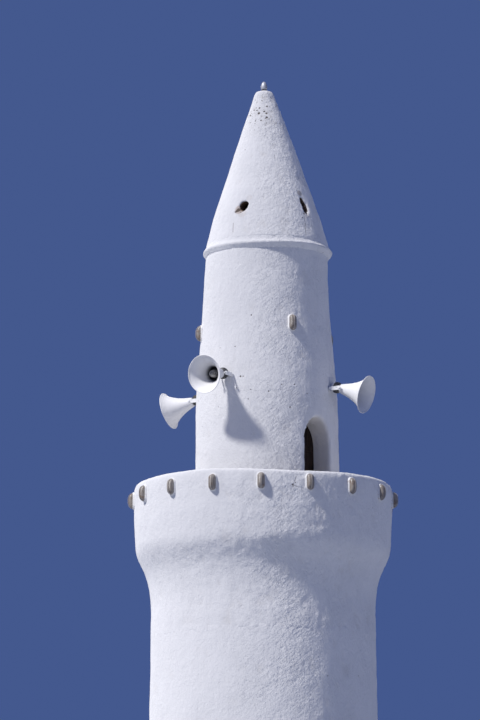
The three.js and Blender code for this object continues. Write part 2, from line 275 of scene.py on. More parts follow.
pale, tree, shader, place = new_material("pale_floor")
cloud = noise(tree, place, 0.6, 3)
finish_surface(tree, shader, mixed(tree, cloud, FLOOR_GREY, FLOOR_PALE), 0.9, swing(tree, cloud, 0.001))
floor_mesh.materials.append(pale)
print("floor", 2 * FLOOR_REACH, "m square")

# %% [markdown]
# ## Limewash
#
# Every wall is rubble under lime plaster, brushed with limewash year after year. The wash is white with a
# cool cast, greyer where it lies thin, a little dusty in the hollows, and pitted where the plaster has lost
# a grain of stone. Rain carries dirt down from the tip of the cone, and mud splashes the foot. The pattern
# reads the place on the building, so it runs over the joints between the pieces without a seam.

# %% Where the plaster is pitted
# azimuth, height and width of each pit
SHAFT_PITS = [
    (-13.0, 10.693, 0.020), (-42.9, 10.302, 0.014), (-27.3, 10.292, 0.016), (-21.6, 9.891, 0.024),
    (-19.4, 9.891, 0.016), (1.4, 9.682, 0.020), (12.0, 9.776, 0.016), (-15.0, 9.588, 0.018),
    (-42.1, 9.526, 0.014), (-64.1, 9.327, 0.016), (33.9, 9.685, 0.018), (22.8, 9.784, 0.018),
    (18.5, 9.485, 0.022), (0.9, 9.765, 0.012), (-24.8, 9.743, 0.016),
]
CONE_PITS = [
    (-18.6, 13.613, 0.026), (-27.2, 13.580, 0.022), (-33.3, 13.621, 0.018), (-40.5, 13.592, 0.022),
    (-19.3, 13.534, 0.038), (9.8, 13.634, 0.026), (-1.0, 13.557, 0.026), (5.9, 13.530, 0.030),
    (5.9, 13.467, 0.034), (-10.2, 13.720, 0.018), (-10.9, 13.422, 0.022), (-53.1, 13.527, 0.026),
    (11.9, 13.445, 0.018), (-27.0, 13.423, 0.018), (39.3, 12.034, 0.022), (-35.1, 12.107, 0.024),
    (-33.2, 12.116, 0.046), (-31.4, 12.128, 0.060), (-29.6, 12.138, 0.052), (-28.2, 12.095, 0.020),
    (44.5, 12.130, 0.034), (46.0, 12.160, 0.030), (42.7, 12.100, 0.026),
]
DRUM_PITS = [
    (12.8, 8.367, 0.026),
    (14.0, 8.395, 0.016),
]
# azimuth and height where each crack starts and where it ends, and its width
CONE_CRACKS = [
    ((43.1, 12.068), (38.8, 11.800), 0.010),
    ((-35.6, 11.953), (-34.6, 11.825), 0.010),
    ((14.8, 12.910), (16.6, 12.471), 0.007),
]
DRUM_CRACKS = [
    ((6.5, 8.339), (13.2, 8.343), 0.008),
    ((14.4, 8.470), (13.0, 8.357), 0.009),
    ((13.0, 8.357), (17.3, 8.328), 0.011),
]
# azimuth, height, width, strength and colour of each smudge on the cone
SMUDGE_GREY = rgb(0.20, 0.165, 0.15)
SMUDGE_BROWN = rgb(0.34, 0.22, 0.13)
SMUDGES = [
    (44.3, 12.395, 0.085, 0.60, SMUDGE_GREY),
    (-31.0, 12.135, 0.130, 0.55, SMUDGE_BROWN),
    (-26.5, 12.075, 0.120, 0.16, SMUDGE_BROWN),
    (-20.0, 12.290, 0.090, 0.10, SMUDGE_BROWN),
    (47.0, 12.090, 0.110, 0.20, SMUDGE_BROWN),
]
print("pits", len(SHAFT_PITS) + len(CONE_PITS) + len(DRUM_PITS))

# %% Outlines of the masonry: radius and height
TOWER_TAPER = [(1.520, 0.0), (1.424, 7.0)]
GALLERY_OUTSIDE = [
    (1.4295, 6.60), (1.4262, 6.84), (1.424, 7.00), (1.436, 7.18), (1.465, 7.35), (1.502, 7.47),
    (1.552, 7.58), (1.607, 7.70), (1.625, 7.77), (1.633, 7.88), (1.645, 8.08), (1.650, 8.30),
    (1.650, 8.52), (1.643, 8.575), (1.620, 8.598),
]
SHAFT_PROFILE = [
    (0.934, 7.68), (0.9235, 8.834), (0.9217, 8.965), (0.917, 9.226), (0.917, 9.488), (0.908, 9.752),
    (0.891, 10.016), (0.8576, 10.411), (0.8255, 10.810), (0.8123, 11.076), (0.7978, 11.343),
    (0.7909, 11.583), (0.790, 11.640),
]
CONE_PROFILE = [
    (0.803, 11.735), (0.7885, 11.800), (0.7673, 11.880), (0.6951, 12.149), (0.6071, 12.419),
    (0.5142, 12.690), (0.4270, 12.962), (0.3350, 13.233), (0.242, 13.506), (0.147, 13.779),
    (0.125, 13.850), (0.103, 13.880), (0.055, 13.891), (0.0, 13.893),
]
# height, and how far to the right the middle is there, because the tower wasn't built quite straight
CENTRE_LINE = [
    (0.0, 0.0), (7.68, 0.0), (7.70, 0.056), (9.226, 0.053), (10.41, 0.045), (10.81, 0.040),
    (11.343, 0.041), (11.60, 0.050), (11.69, 0.066), (11.80, 0.061), (12.149, 0.053),
    (12.69, 0.045), (13.233, 0.036), (13.9, 0.020),
]


def centre_at(height):
    """How far to the right the tower's middle is, at one height or at many."""
    heights, sideways = zip(*CENTRE_LINE)
    return np.interp(height, heights, sideways)


def radius_on(profile, height):
    """The radius that an outline has, at one height or at many."""
    radii, heights = zip(*profile)
    return np.interp(height, heights, radii)


def on_wall(profile, azimuth, height):
    """The point of a round wall at an azimuth and a height."""
    out = direction_of(azimuth) * radius_on(profile, height)
    centre = 0.0 if profile is GALLERY_OUTSIDE else centre_at(height)
    return (centre + out.x, out.y, height)


print("shaft at 9 m:", round(radius_on(SHAFT_PROFILE, 9.0), 3), "m, centre", round(centre_at(9.0), 3))

# %% Colours and levels of the limewash
WASH = rgb(0.80, 0.80, 0.81)
THIN_WASH = rgb(0.67, 0.675, 0.69)
DUST = rgb(0.50, 0.45, 0.39)
PIT_BROWN = rgb(0.065, 0.042, 0.028)
RAIN_STAIN = rgb(0.33, 0.30, 0.27)
MUD = rgb(0.42, 0.35, 0.27)
# painted shade: the doorway's sides and the inside of the shaft are tinted with it
PAINTED_RECESS_SHADE = rgb(0.43, 0.39, 0.36)
# bare brown plaster that goes near black deeper in, which is partly painted shade inside the vents and the
# cone
BARE_PLASTER_AND_SHADE = rgb(0.050, 0.030, 0.020)
BARE_CRUMBS = rgb(0.25, 0.175, 0.12)
# from one height to another, and how softly it fades there
STAINED = (13.30, 13.82, 0.12)
BRUSHED = (11.9, 13.9, 0.2)
# the level at which one day's plaster ended and the next day's began
LIFT_LINE = 9.705
ROUGH_SIDE = 38
WORN_WALLS = [
    (SHAFT_PROFILE, SHAFT_PITS, []),
    (CONE_PROFILE, CONE_PITS, CONE_CRACKS),
    (GALLERY_OUTSIDE, DRUM_PITS, DRUM_CRACKS),
]
print("lift line", LIFT_LINE, "m, worn walls", len(WORN_WALLS))

# %% Marks that the limewash is made of


def spot(tree, place, centre, width):
    """A soft round mark of a given width about a point."""
    away = distance_between(tree, place, centre)
    return remap(tree, away, width * 0.35, width * 0.6, 1.0, 0.0)


def crack(tree, place, start, end, width):
    """A thin mark along the line from one point to another."""
    whole = Vector(end) - Vector(start)
    reach = vector_maths(tree, "SUBTRACT", place, start)[0]
    ahead = maths(tree, "DIVIDE", dot(tree, reach, whole), whole.length_squared)
    share = add_node(tree, "ShaderNodeClamp", {0: ahead}).outputs[0]
    away = distance_between(tree, reach, scaled(tree, whole, share))
    return remap(tree, away, width * 0.3, width * 0.8, 1.0, 0.0)


def leaning_strokes(tree, place, lean, across, along, seed):
    """Noise drawn out along a line that leans from upright by an angle, like the marks of a brush."""
    turn = {"Vector": place, "Axis": (0, 1, 0), "Angle": math.radians(lean)}
    turned = add_node(tree, "ShaderNodeVectorRotate", turn, rotation_type="AXIS_ANGLE").outputs[0]
    return noise(tree, stretched(tree, turned, across, along), 1.0, 2, 0.6, seed)


def crests(tree, cloud, width, rise):
    """Sharp crest lines where the noise passes its middle."""
    away = maths(tree, "ABSOLUTE", maths(tree, "SUBTRACT", cloud, 0.5))
    return remap(tree, away, 0.0, width, rise, 0.0)


def random_colour(tree, cells):
    """One number between 0 and 1 for each cell of a random pattern."""
    return add_node(tree, "ShaderNodeSeparateColor", {0: cells.outputs["Color"]}).outputs[0]


def scattered_pits(tree, place, scale, share, size):
    """Round pits, one to a cell of a random pattern, in a share of its cells."""
    cells = add_node(tree, "ShaderNodeTexVoronoi", {"Vector": place, "Scale": scale})
    picked = maths(tree, "GREATER_THAN", random_colour(tree, cells), 1.0 - share)
    round_mark = remap(tree, cells.outputs["Distance"], size * scale * 0.5, size * scale, 1.0, 0.0)
    return times(tree, round_mark, picked)


def between(tree, height, low, high, softness):
    """1 between two heights and 0 beyond them."""
    rising = remap(tree, height, low - softness, low + softness)
    falling = remap(tree, height, high - softness, high + softness, 1.0, 0.0)
    return times(tree, rising, falling)


# %% The colour of the limewash


def wash_colour(tree, place, height):
    """White, but thin in patches and streaks, dusty, stained under the tip, painted with shade in recesses,
    muddy and smudged.
    """
    patches = remap(tree, noise(tree, place, 2.1, 4, 0.6), 0.42, 0.72)
    streaks = remap(tree, noise(tree, stretched(tree, place, 14, 1.6), 1.0, 3, 0.6, 3.0), 0.52, 0.78)
    colour = tinted(tree, WASH, THIN_WASH, total(tree, patches, streaks), 0.33)
    dusty = remap(tree, attribute(tree, "hollow"), 0.55, 1.0)
    colour = tinted(tree, colour, DUST, dusty, 0.16)
    drips = remap(tree, noise(tree, stretched(tree, place, 30, 16), 1.0, 3, 0.65, 9.0), 0.53, 0.68)
    stain = times(tree, between(tree, height, *STAINED), drips)
    colour = tinted(tree, colour, RAIN_STAIN, stain, 0.45)
    # painted shade in the doorway and inside the shaft
    colour = tinted(tree, colour, PAINTED_RECESS_SHADE, attribute(tree, "handled"), 0.5)
    splashes = noise(tree, place, 5.0, 4, 0.6, 5.0)
    mud_line = maths(tree, "SUBTRACT", height, times(tree, splashes, 0.7))
    colour = mixed(tree, remap(tree, mud_line, -0.25, 0.25, 0.7, 0.0), colour, MUD)
    for azimuth, level, width, strength, tint in SMUDGES:
        smudge = spot(tree, place, on_wall(CONE_PROFILE, azimuth, level), width)
        colour = tinted(tree, colour, tint, smudge, strength)
    return colour


def with_bare_and_shaded_plaster(tree, place, colour):
    """Brown plaster and pale crumbs where no lime has reached, inside the vents and the cone, near black
    deeper in as painted shade.
    """
    depth = attribute(tree, "bare")
    frayed = total(tree, depth, swing(tree, noise(tree, place, 55.0, 3, 0.6, 13.0), 0.2))
    bare = remap(tree, frayed, 0.16, 0.28)
    crumbs = remap(tree, noise(tree, place, 62.0, 2, 0.6, 15.0), 0.47, 0.56)
    fewer_inside = remap(tree, depth, 0.75, 1.0, 1.0, 0.12)
    bare_and_shaded_colour = tinted(tree, BARE_PLASTER_AND_SHADE, BARE_CRUMBS, crumbs, fewer_inside)
    return mixed(tree, bare, colour, bare_and_shaded_colour)


# %% Pits and cracks, and the relief of the limewash


def pits_and_cracks(tree, place, height, lift):
    """Pits all over, crumbly bands under the tip and at the lift line, and the marks listed above."""
    pitted = scattered_pits(tree, place, 5.0, 0.16, 0.009)
    crumbled = scattered_pits(tree, place, 21.0, 0.5, 0.010)
    freckles = scattered_pits(tree, place, 47.0, 0.5, 0.0055)
    crumbled = maths(tree, "MAXIMUM", crumbled, times(tree, freckles, 0.6))
    lift_zone = between(tree, lift, LIFT_LINE - 0.04, LIFT_LINE + 0.02, 0.012)
    lift_zone = times(tree, lift_zone, remap(tree, noise(tree, place, 4.0, 1, 0.5, 12.0), 0.45, 0.60))
    zones = maths(tree, "MAXIMUM", between(tree, height, *STAINED), lift_zone)
    pitted = maths(tree, "MAXIMUM", pitted, times(tree, crumbled, zones))
    for profile, pits, cracks in WORN_WALLS:
        for azimuth, level, width in pits:
            mark = spot(tree, place, on_wall(profile, azimuth, level), width)
            pitted = maths(tree, "MAXIMUM", pitted, mark)
        for start, end, width in cracks:
            line = crack(tree, place, on_wall(profile, *start), on_wall(profile, *end), width)
            pitted = maths(tree, "MAXIMUM", pitted, times(tree, line, 0.5))
    return pitted


def wash_relief(tree, place, height, lift, pitted):
    """Trowel marks, dabs and brush strokes, rougher on one side, with grain, pits and the lift line."""
    trowel = swing(tree, noise(tree, place, 15.0, 2, 0.55, 1.0, 0.4), 0.0030)
    rough_patch = remap(tree, noise(tree, place, 2.6, 2, 0.5, 8.0), 0.42, 0.62, 0.55, 1.0)
    around = vector_maths(tree, "NORMALIZE", stretched(tree, place, 1, 0))[0]
    rough_side = dot(tree, around, direction_of(ROUGH_SIDE))
    rough = times(tree, rough_patch, remap(tree, rough_side, 0.45, 0.95, 0.85, 2.1))
    rising = leaning_strokes(tree, place, 32, 36, 9, 7.0)
    falling = leaning_strokes(tree, place, -48, 28, 9, 14.0)
    dabs = total(
        tree, swing(tree, rising, 0.0050), swing(tree, falling, 0.0026), crests(tree, rising, 0.03, 0.0012)
    )
    dabs = times(tree, dabs, rough)
    brush = swing(tree, noise(tree, stretched(tree, place, 42, 5), 1.0, 3, 0.6, 2.0), 0.0014)
    brush = times(tree, brush, maths(tree, "ADD", between(tree, height, *BRUSHED), 0.3))
    brush = times(tree, brush, remap(tree, rough_side, 0.6, 1.0, 0.8, 2.4))
    grain = swing(tree, noise(tree, place, 48.0, 2, 0.6, 4.0), 0.0023)
    sunk = times(tree, pitted, -0.006)
    step = times(tree, remap(tree, lift, LIFT_LINE - 0.006, LIFT_LINE + 0.006), 0.0015)
    return total(tree, trowel, dabs, brush, grain, sunk, step)


# %% Limewash material


def limewash():
    material, tree, shader, place = new_material("limewash")
    height = height_of(tree, place)
    lift = maths(tree, "SUBTRACT", height, swing(tree, noise(tree, place, 3.0, 2, 0.5, 11.0), 0.05))
    pitted = pits_and_cracks(tree, place, height, lift)
    colour = tinted(tree, wash_colour(tree, place, height), PIT_BROWN, pitted, 0.9)
    relief = wash_relief(tree, place, height, lift, pitted)
    finish_surface(tree, shader, with_bare_and_shaded_plaster(tree, place, colour), 0.93, relief)
    shader.inputs["Diffuse Roughness"].default_value = 1.0
    shader.inputs["Specular IOR Level"].default_value = 0.2
    return material


limewash_material = limewash()
print("limewash nodes", len(limewash_material.node_tree.nodes))

# %% [markdown]
# ## From an outline to a lumpy wall
#
# A round wall is an outline turned about an upright line. The turned shape is cut where it has a doorway or
# a vent. Then Remesh builds its surface anew in even squares, which gives plaster its soft corners and
# gives the next step points to move. Last, a tree of Geometry Nodes pushes the points in and out: slow sags
# where the rubble bulges, lumps and dabs from the trowel, and upright strokes. It also writes down how deep
# each point lies, so that the limewash can gather dust there.

# %% Smooth outlines


def smooth_curve(points, step):
    """Points about a step apart on a smooth curve through the ones given."""
    points = np.array(points, float)
    moves = np.diff(points, axis=0)
    gaps = np.linalg.norm(moves, axis=1)
    slopes = moves / gaps[:, None]
    before, after = gaps[:-1, None], gaps[1:, None]
    inner = (slopes[:-1] * after + slopes[1:] * before) / (before + after)
    tangents = np.vstack([slopes[:1], inner, slopes[-1:]])
    run = []
    for i, gap in enumerate(gaps):
        t = np.linspace(0, 1, max(2, math.ceil(gap / step) + 1))[:-1, None]
        start_share = 2 * t**3 - 3 * t**2 + 1
        leave = t**3 - 2 * t**2 + t
        arrive = t**3 - t**2
        run.append(
            start_share * points[i]
            + (1 - start_share) * points[i + 1]
            + gap * (leave * tangents[i] + arrive * tangents[i + 1])
        )
    return [tuple(p) for p in np.vstack([*run, points[-1:]])]


print("smooth curve:", len(smooth_curve(CONE_PROFILE, 0.03)), "points on the cone")

# %% Turned shapes


def new_object(name, mesh):
    made = bpy.data.objects.new(name, mesh)
    bpy.context.scene.collection.objects.link(made)
    return made


def mesh_of(name, points, faces, smooth=True):
    """A mesh whose faces all point outwards."""
    mesh = bpy.data.meshes.new(name)
    mesh.from_pydata([tuple(p) for p in points], [], faces)
    shape = bmesh.new()
    shape.from_mesh(mesh)
    bmesh.ops.remove_doubles(shape, verts=shape.verts, dist=1e-6)
    bmesh.ops.recalc_face_normals(shape, faces=shape.faces)
    for face in shape.faces:
        face.smooth = smooth
    shape.to_mesh(mesh)
    shape.free()
    return mesh


def turned_parts(outline, sides, centre):
    """Points and faces turned from an outline of (radius, height). One that keeps off the axis closes up."""
    points, rings = [], []
    for radius, height in outline:
        start = len(points)
        if radius < 1e-6:
            points.append((centre(height), 0.0, height))
            rings.append([start] * sides)
            continue
        rings.append(list(range(start, start + sides)))
        for k in range(sides):
            out = direction_of(360 * k / sides) * radius
            points.append((centre(height) + out.x, out.y, height))
    faces = []
    off_axis = all(radius > 1e-6 for radius, _ in outline)
    pairs = list(zip(rings, rings[1:])) + ([(rings[-1], rings[0])] if off_axis else [])
    for low, high in pairs:
        for k in range(sides):
            after = (k + 1) % sides
            corners = list(dict.fromkeys([low[k], low[after], high[after], high[k]]))
            if len(corners) > 2:
                faces.append(corners)
    return points, faces


def turned_object(name, outline, sides, centre=lambda height: 0.0):
    """A turned shape about an upright line, which centre may let drift to the side with the height."""
    return new_object(name, mesh_of(name, *turned_parts(outline, sides, centre)))


# %% Shapes that run out from the axis


def facing(azimuth, centre=0.0):
    """Turns what is made on the front, facing -Y, to an azimuth, about an upright line at x = centre."""
    return Matrix.Translation((centre, 0, 0)) @ Matrix.Rotation(math.radians(azimuth), 4, "Z")


def lofted_parts(sections):
    """Points and faces of a closed shape through sections that have the same number of points."""
    points = [point for section in sections for point in section]
    around = len(sections[0])
    faces = [list(range(around)), list(range(len(points) - around, len(points)))]
    for s in range(len(sections) - 1):
        low, high = s * around, (s + 1) * around
        for k in range(around):
            after = (k + 1) % around
            faces.append([low + k, low + after, high + after, high + k])
    return points, faces


ARCH_STEPS = 24


def arch_section(width, height, foot, distance, left=0.0, right=0.0, head=0.0, below=0.0, rise=1.0):
    """One round-headed section at a distance from the axis, with its sides and head spread by so much."""
    # rise is the head's height for half its width: 1 is a half circle, and more than 1 is an upright oval
    radius = width / 2
    springing = foot + height - radius * rise
    section = [(-radius - left, -distance, foot - below), (radius + right, -distance, foot - below)]
    for k in range(ARCH_STEPS + 1):
        angle = math.pi * k / ARCH_STEPS
        across = radius * math.cos(angle)
        across += right * max(0.0, math.cos(angle)) - left * max(0.0, -math.cos(angle))
        section.append((across, -distance, springing + (radius * rise + head) * math.sin(angle)))
    return section


def lofted_object(name, sections, smooth=True):
    return new_object(name, mesh_of(name, *lofted_parts(sections), smooth=smooth))


def outward_cutter(name, sections, azimuth, centre):
    """A cutter that runs from near the axis out through the wall, at an azimuth."""
    cutter = lofted_object(name, sections)
    cutter.data.transform(facing(azimuth, centre))
    return cutter


# %% Cutting, and making the surface anew


def frozen(thing):
    """The mesh that the modifiers give, with no modifier left on the object."""
    bpy.context.view_layer.update()
    evaluated = thing.evaluated_get(bpy.context.evaluated_depsgraph_get())
    made = bpy.data.meshes.new_from_object(evaluated)
    old = thing.data
    thing.modifiers.clear()
    thing.data = made
    made.name = thing.name
    if old.users == 0:
        bpy.data.meshes.remove(old)
    return thing


def discard(*things):
    for thing in things:
        bpy.data.objects.remove(thing)


def changed_by(body, others, operation="DIFFERENCE"):
    """Cuts the others out of the body, or joins them to it."""
    for other in others:
        modifier = body.modifiers.new(other.name, "BOOLEAN")
        modifier.operation = operation
        modifier.solver = "MANIFOLD"
        modifier.object = other
    frozen(body)
    discard(*others)


def evenly_meshed(body, square, softening):
    """Makes the surface anew in even squares and softens its corners."""
    remesh = body.modifiers.new("even squares", "REMESH")
    remesh.mode = "VOXEL"
    remesh.voxel_size = square
    remesh.use_smooth_shade = True
    soften = body.modifiers.new("soft corners", "SMOOTH")
    soften.factor = 0.5
    soften.iterations = softening
    frozen(body)


# %% Helpers for Geometry Nodes trees


def add_input(tree, name, kind, value=None):
    socket = tree.interface.new_socket(name=name, in_out="INPUT", socket_type=kind)
    if value is not None:
        socket.default_value = value


def new_geometry_tree(name, inputs):
    """A tree with a geometry in and out, and the inputs given as name, socket kind and value."""
    tree = bpy.data.node_groups.new(name, "GeometryNodeTree")
    add_input(tree, "Geometry", "NodeSocketGeometry")
    for described in inputs:
        add_input(tree, *described)
    tree.interface.new_socket(name="Geometry", in_out="OUTPUT", socket_type="NodeSocketGeometry")
    return tree, add_node(tree, "NodeGroupInput").outputs


def store(tree, geometry, name, value, domain="POINT"):
    values = {"Geometry": geometry, "Name": name, "Value": value}
    node = add_node(tree, "GeometryNodeStoreNamedAttribute", values, data_type="FLOAT", domain=domain)
    return node.outputs[0]


def close_geometry_tree(tree, geometry, material):
    """Every tree ends in the same way: real geometry, and a material on it."""
    real = add_node(tree, "GeometryNodeRealizeInstances", {0: geometry})
    coated = add_node(tree, "GeometryNodeSetMaterial", {"Geometry": real.outputs[0], "Material": material})
    add_node(tree, "NodeGroupOutput", {0: coated.outputs[0]})
    return tree


def grown_by(thing, tree, **values):
    """Runs a Geometry Nodes tree once and keeps the plain mesh. A _ in a value's name is a space."""
    modifier = thing.modifiers.new(tree.name, "NODES")
    modifier.node_group = tree
    sockets = {item.name: item.identifier for item in tree.interface.items_tree if item.in_out == "INPUT"}
    for name, value in values.items():
        modifier[sockets[name.replace("_", " ")]] = value
    return frozen(thing)


# %% The lime relief, as a Geometry Nodes tree


def lime_relief_tree():
    tree, given = new_geometry_tree(
        "lime relief",
        [
            ("Sag", "NodeSocketFloat", 0.01),
            ("Lump", "NodeSocketFloat", 0.006),
            ("Dab", "NodeSocketFloat", 0.004),
            ("Fineness", "NodeSocketFloat", 1.0),
            ("Stroke", "NodeSocketFloat", 0.002),
            ("Rough Side", "NodeSocketVector", (1, 0, 0)),
            ("Rough Gain", "NodeSocketFloat", 0.0),
            ("Seed", "NodeSocketFloat", 0.0),
            ("Material", "NodeSocketMaterial"),
        ],
    )
    place = add_node(tree, "GeometryNodeInputPosition").outputs[0]
    outward = add_node(tree, "GeometryNodeInputNormal").outputs[0]
    seed = given["Seed"]
    sag = swing(tree, noise(tree, place, 0.85, 1, 0.5, seed), given["Sag"])
    lump = swing(tree, noise(tree, place, 3.1, 2, 0.5, seed), given["Lump"])
    cells = add_node(
        tree,
        "ShaderNodeTexVoronoi",
        {"Vector": place, "Scale": 5.0, "Smoothness": 0.5, "Randomness": 1.0, "W": seed},
        voronoi_dimensions="4D",
        feature="SMOOTH_F1",
    )
    facets = times(tree, swing(tree, remap(tree, cells.outputs["Distance"], 0.1, 0.8), given["Dab"]), 0.3)
    finer = scaled(tree, place, given["Fineness"])
    crumbs = swing(tree, leaning_strokes(tree, finer, 30, 17, 7.5, seed), given["Dab"])
    strokes = swing(tree, noise(tree, stretched(tree, place, 26, 4), 1.0, 2, 0.5, seed), given["Stroke"])
    facing_rough = dot(tree, outward, given["Rough Side"])
    gain = times(tree, remap(tree, facing_rough, -0.2, 0.9), given["Rough Gain"])
    fine = times(tree, total(tree, facets, crumbs, strokes), maths(tree, "ADD", gain, 1.0))
    rise = total(tree, sag, lump, fine)
    offset = scaled(tree, outward, rise)
    moved = add_node(tree, "GeometryNodeSetPosition", {"Geometry": given["Geometry"], "Offset": offset})
    span = total(tree, given["Lump"], given["Dab"])
    depth = maths(tree, "DIVIDE", total(tree, lump, fine), times(tree, span, -1.0))
    hollow = remap(tree, depth, -0.8, 0.8)
    marked = store(tree, moved.outputs[0], "hollow", hollow)
    return close_geometry_tree(tree, marked, given["Material"])


lime_relief = lime_relief_tree()
print("relief nodes", len(lime_relief.nodes))

# %% Plaster, and what its points note


def plastered(body, square, softening, rough_azimuth=0, rough_gain=0.0, finish=limewash_material, **relief):
    """A cut and closed shape, given its lumpy surface, which is rougher on one side, and its finish."""
    evenly_meshed(body, square, softening)
    rough_side = tuple(direction_of(rough_azimuth))
    grown_by(body, lime_relief, Rough_Side=rough_side, Rough_Gain=rough_gain, Material=finish, **relief)
    print(body.name, "faces", len(body.data.polygons))


def points_of(mesh):
    flat = np.empty(len(mesh.vertices) * 3)
    mesh.vertices.foreach_get("co", flat)
    return flat.reshape(-1, 3)


def moved_points(thing, move):
    """Moves every point of a mesh by a function of all its points at once."""
    mesh = thing.data
    mesh.vertices.foreach_set("co", move(points_of(mesh)).ravel())
    mesh.update()


def note(mesh, name, values):
    """Gives each point of a mesh a number that its material can read by this name."""
    mesh.attributes.new(name, "FLOAT", "POINT").data.foreach_set("value", values)


def note_depth(thing, name, profile, cover, fade):
    """Marks what lies deeper under the outline than a cover, such as plaster that no limewash reaches, and
    recesses that get painted shade.
    """
    x, y, height = points_of(thing.data).T
    depth = radius_on(profile, height) - np.hypot(x - centre_at(height), y)
    note(thing.data, name, np.clip((depth - cover) / fade, 0, 1))


# %% Body and solids of a piece


def nodes_named(*beginnings):
    """The frame's solids whose names start in one of these ways."""
    return [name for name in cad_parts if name.startswith(beginnings)]


def dressed(piece, body, slot, *replaced):
    """Says which body a piece moves with, and which solids it stands for, which it hides. The slot is not
    used.
    """
    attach(piece, body)
    if replaced:
        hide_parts(*replaced)


# %% [markdown]
# ## Tower
#
# The tower is a plain round wall with a little taper and an arched doorway at its foot, at the back. It is
# hollow. Its upper end meets the neck that belongs to the gallery's skin, a hand's breadth above the joint,
# so the two lap like coats of plaster. The underside is pressed flat again, because the tower stands on it.

# %% Tower plaster
TOWER_LAP = 6.72
TOWER_BORE = 0.90
GROUND_DOORWAY = {"width": 0.70, "height": 1.90, "foot": 0.15, "below": 0.3, "rise": 1.0}
GROUND_FLARE = [
    (0.30, 0, 0, 0), (1.42, 0, 0, 0), (1.46, 0.012, 0.012, 0.008), (1.50, 0.05, 0.05, 0.035),
    (1.92, 0.5, 0.5, 0.4),
]
PRESSED_FLAT = 0.012


def doorway_cutter(name, doorway, flare, azimuth, centre):
    """A doorway's cutter. Each step of its flare is a distance, and the spread left, right and above."""
    sections = [
        arch_section(**doorway, distance=distance, left=left, right=right, head=head)
        for distance, left, right, head in flare
    ]
    return outward_cutter(name, sections, azimuth, centre)


tower_outline = [(radius_on(TOWER_TAPER, height), height) for height in np.linspace(0, TOWER_LAP, 20)]
tower_outline += [(TOWER_BORE, TOWER_LAP), (TOWER_BORE, 0.0)]
tower_plaster = turned_object("tower_plaster", tower_outline, sides=96)
ground_cutter = doorway_cutter("ground doorway", GROUND_DOORWAY, GROUND_FLARE, 180, 0)
changed_by(tower_plaster, [ground_cutter])
tower_relief = {"Sag": 0.010, "Lump": 0.0045, "Dab": 0.0035, "Fineness": 0.5, "Stroke": 0.0015, "Seed": 2.0}
plastered(tower_plaster, square=0.038, softening=2, rough_azimuth=50, rough_gain=0.8, **tower_relief)


def standing(points):
    """Presses everything near the ground flat on it."""
    points[:, 2] = np.where(points[:, 2] < PRESSED_FLAT, 0, points[:, 2])
    return points


moved_points(tower_plaster, standing)
dressed(tower_plaster, "tower", "whitewash", *nodes_named("tower_wall"))

# %% [markdown]
# ## Gallery
#
# The gallery is a shallow bowl that swells gently out of the tower and rises into a parapet as high as a
# rail. Neck, bowl and parapet are one surface on the real building, so they are one skin here, with a slow
# curve below and a rounded rim. The rim dips a little at the front, as the real one does, and the wall was
# dabbed on more roughly on the side in shade.

# %% Gallery plaster
GALLERY_INSIDE = [
    (1.475, 8.598), (1.453, 8.575), (1.447, 8.52), (1.447, 7.69), (1.02, 7.69), (1.02, 7.5),
    (TOWER_BORE, 7.5), (TOWER_BORE, 6.6),
]

gallery_outline = smooth_curve(GALLERY_OUTSIDE, 0.04) + GALLERY_INSIDE
gallery_plaster = turned_object("gallery_plaster", gallery_outline, sides=144)
gallery_relief = {"Sag": 0.010, "Lump": 0.0050, "Dab": 0.0065, "Stroke": 0.0015, "Seed": 2.0}
plastered(gallery_plaster, square=0.024, softening=2, rough_azimuth=50, rough_gain=0.8, **gallery_relief)

# %% The gallery's rim
RIM_DIP = 0.043
RIM_DIP_AZIMUTH = 14
RIM_DIP_WIDTH = 28
RIM_DIP_FROM = 8.2
RIM_HEIGHT = 8.6


def hanging(points, depth, azimuth, width):
    """How far each point hangs down, most at one azimuth and less on both sides of it."""
    around = np.degrees(np.arctan2(points[:, 0], -points[:, 1]))
    return depth * np.exp(-(((around - azimuth) / width) ** 2))


def dipped_rim(points):
    """Lets the rim hang at the front, and the wall under it less and less."""
    share = np.clip((points[:, 2] - RIM_DIP_FROM) / (RIM_HEIGHT - RIM_DIP_FROM), 0, 1) ** 2
    points[:, 2] -= share * hanging(points, RIM_DIP, RIM_DIP_AZIMUTH, RIM_DIP_WIDTH)
    return points


moved_points(gallery_plaster, dipped_rim)
dressed(gallery_plaster, "tower", "whitewash", *nodes_named("bowl", "parapet"))
print("rim dips by", RIM_DIP, "m")

# %% [markdown]
# ## Shaft
#
# The shaft leans a hair out of plumb and tapers faster above head height. Its outline and its centre line
# say so. The doorway's arch is a little taller than a half circle, and rises towards its mouth. Its right
# corner has been rubbed round, and its left one is still sharp, so the cutter flares upwards, and a little
# on the right. The doorway's sides and the inside of the shaft are painted greyer and warmer than the wall,
# as painted shade in the recess.

# %% Shaft plaster
SHAFT_BORE = 0.56
SHAFT_CENTRE = 0.048
DOORWAY_AZIMUTH = 46.0
GALLERY_DOORWAY = {"width": 0.48, "height": 1.65, "foot": 7.72, "below": 0.2, "rise": 1.35}
DOORWAY_FLARE = [
    (0.30, 0, 0, 0.030), (0.62, 0, 0, 0.030), (0.87, 0, 0, 0.038), (0.895, 0, 0.004, 0.042),
    (0.91, 0.001, 0.012, 0.048), (0.93, 0.006, 0.030, 0.065), (1.25, 0.2, 0.4, 0.35),
]

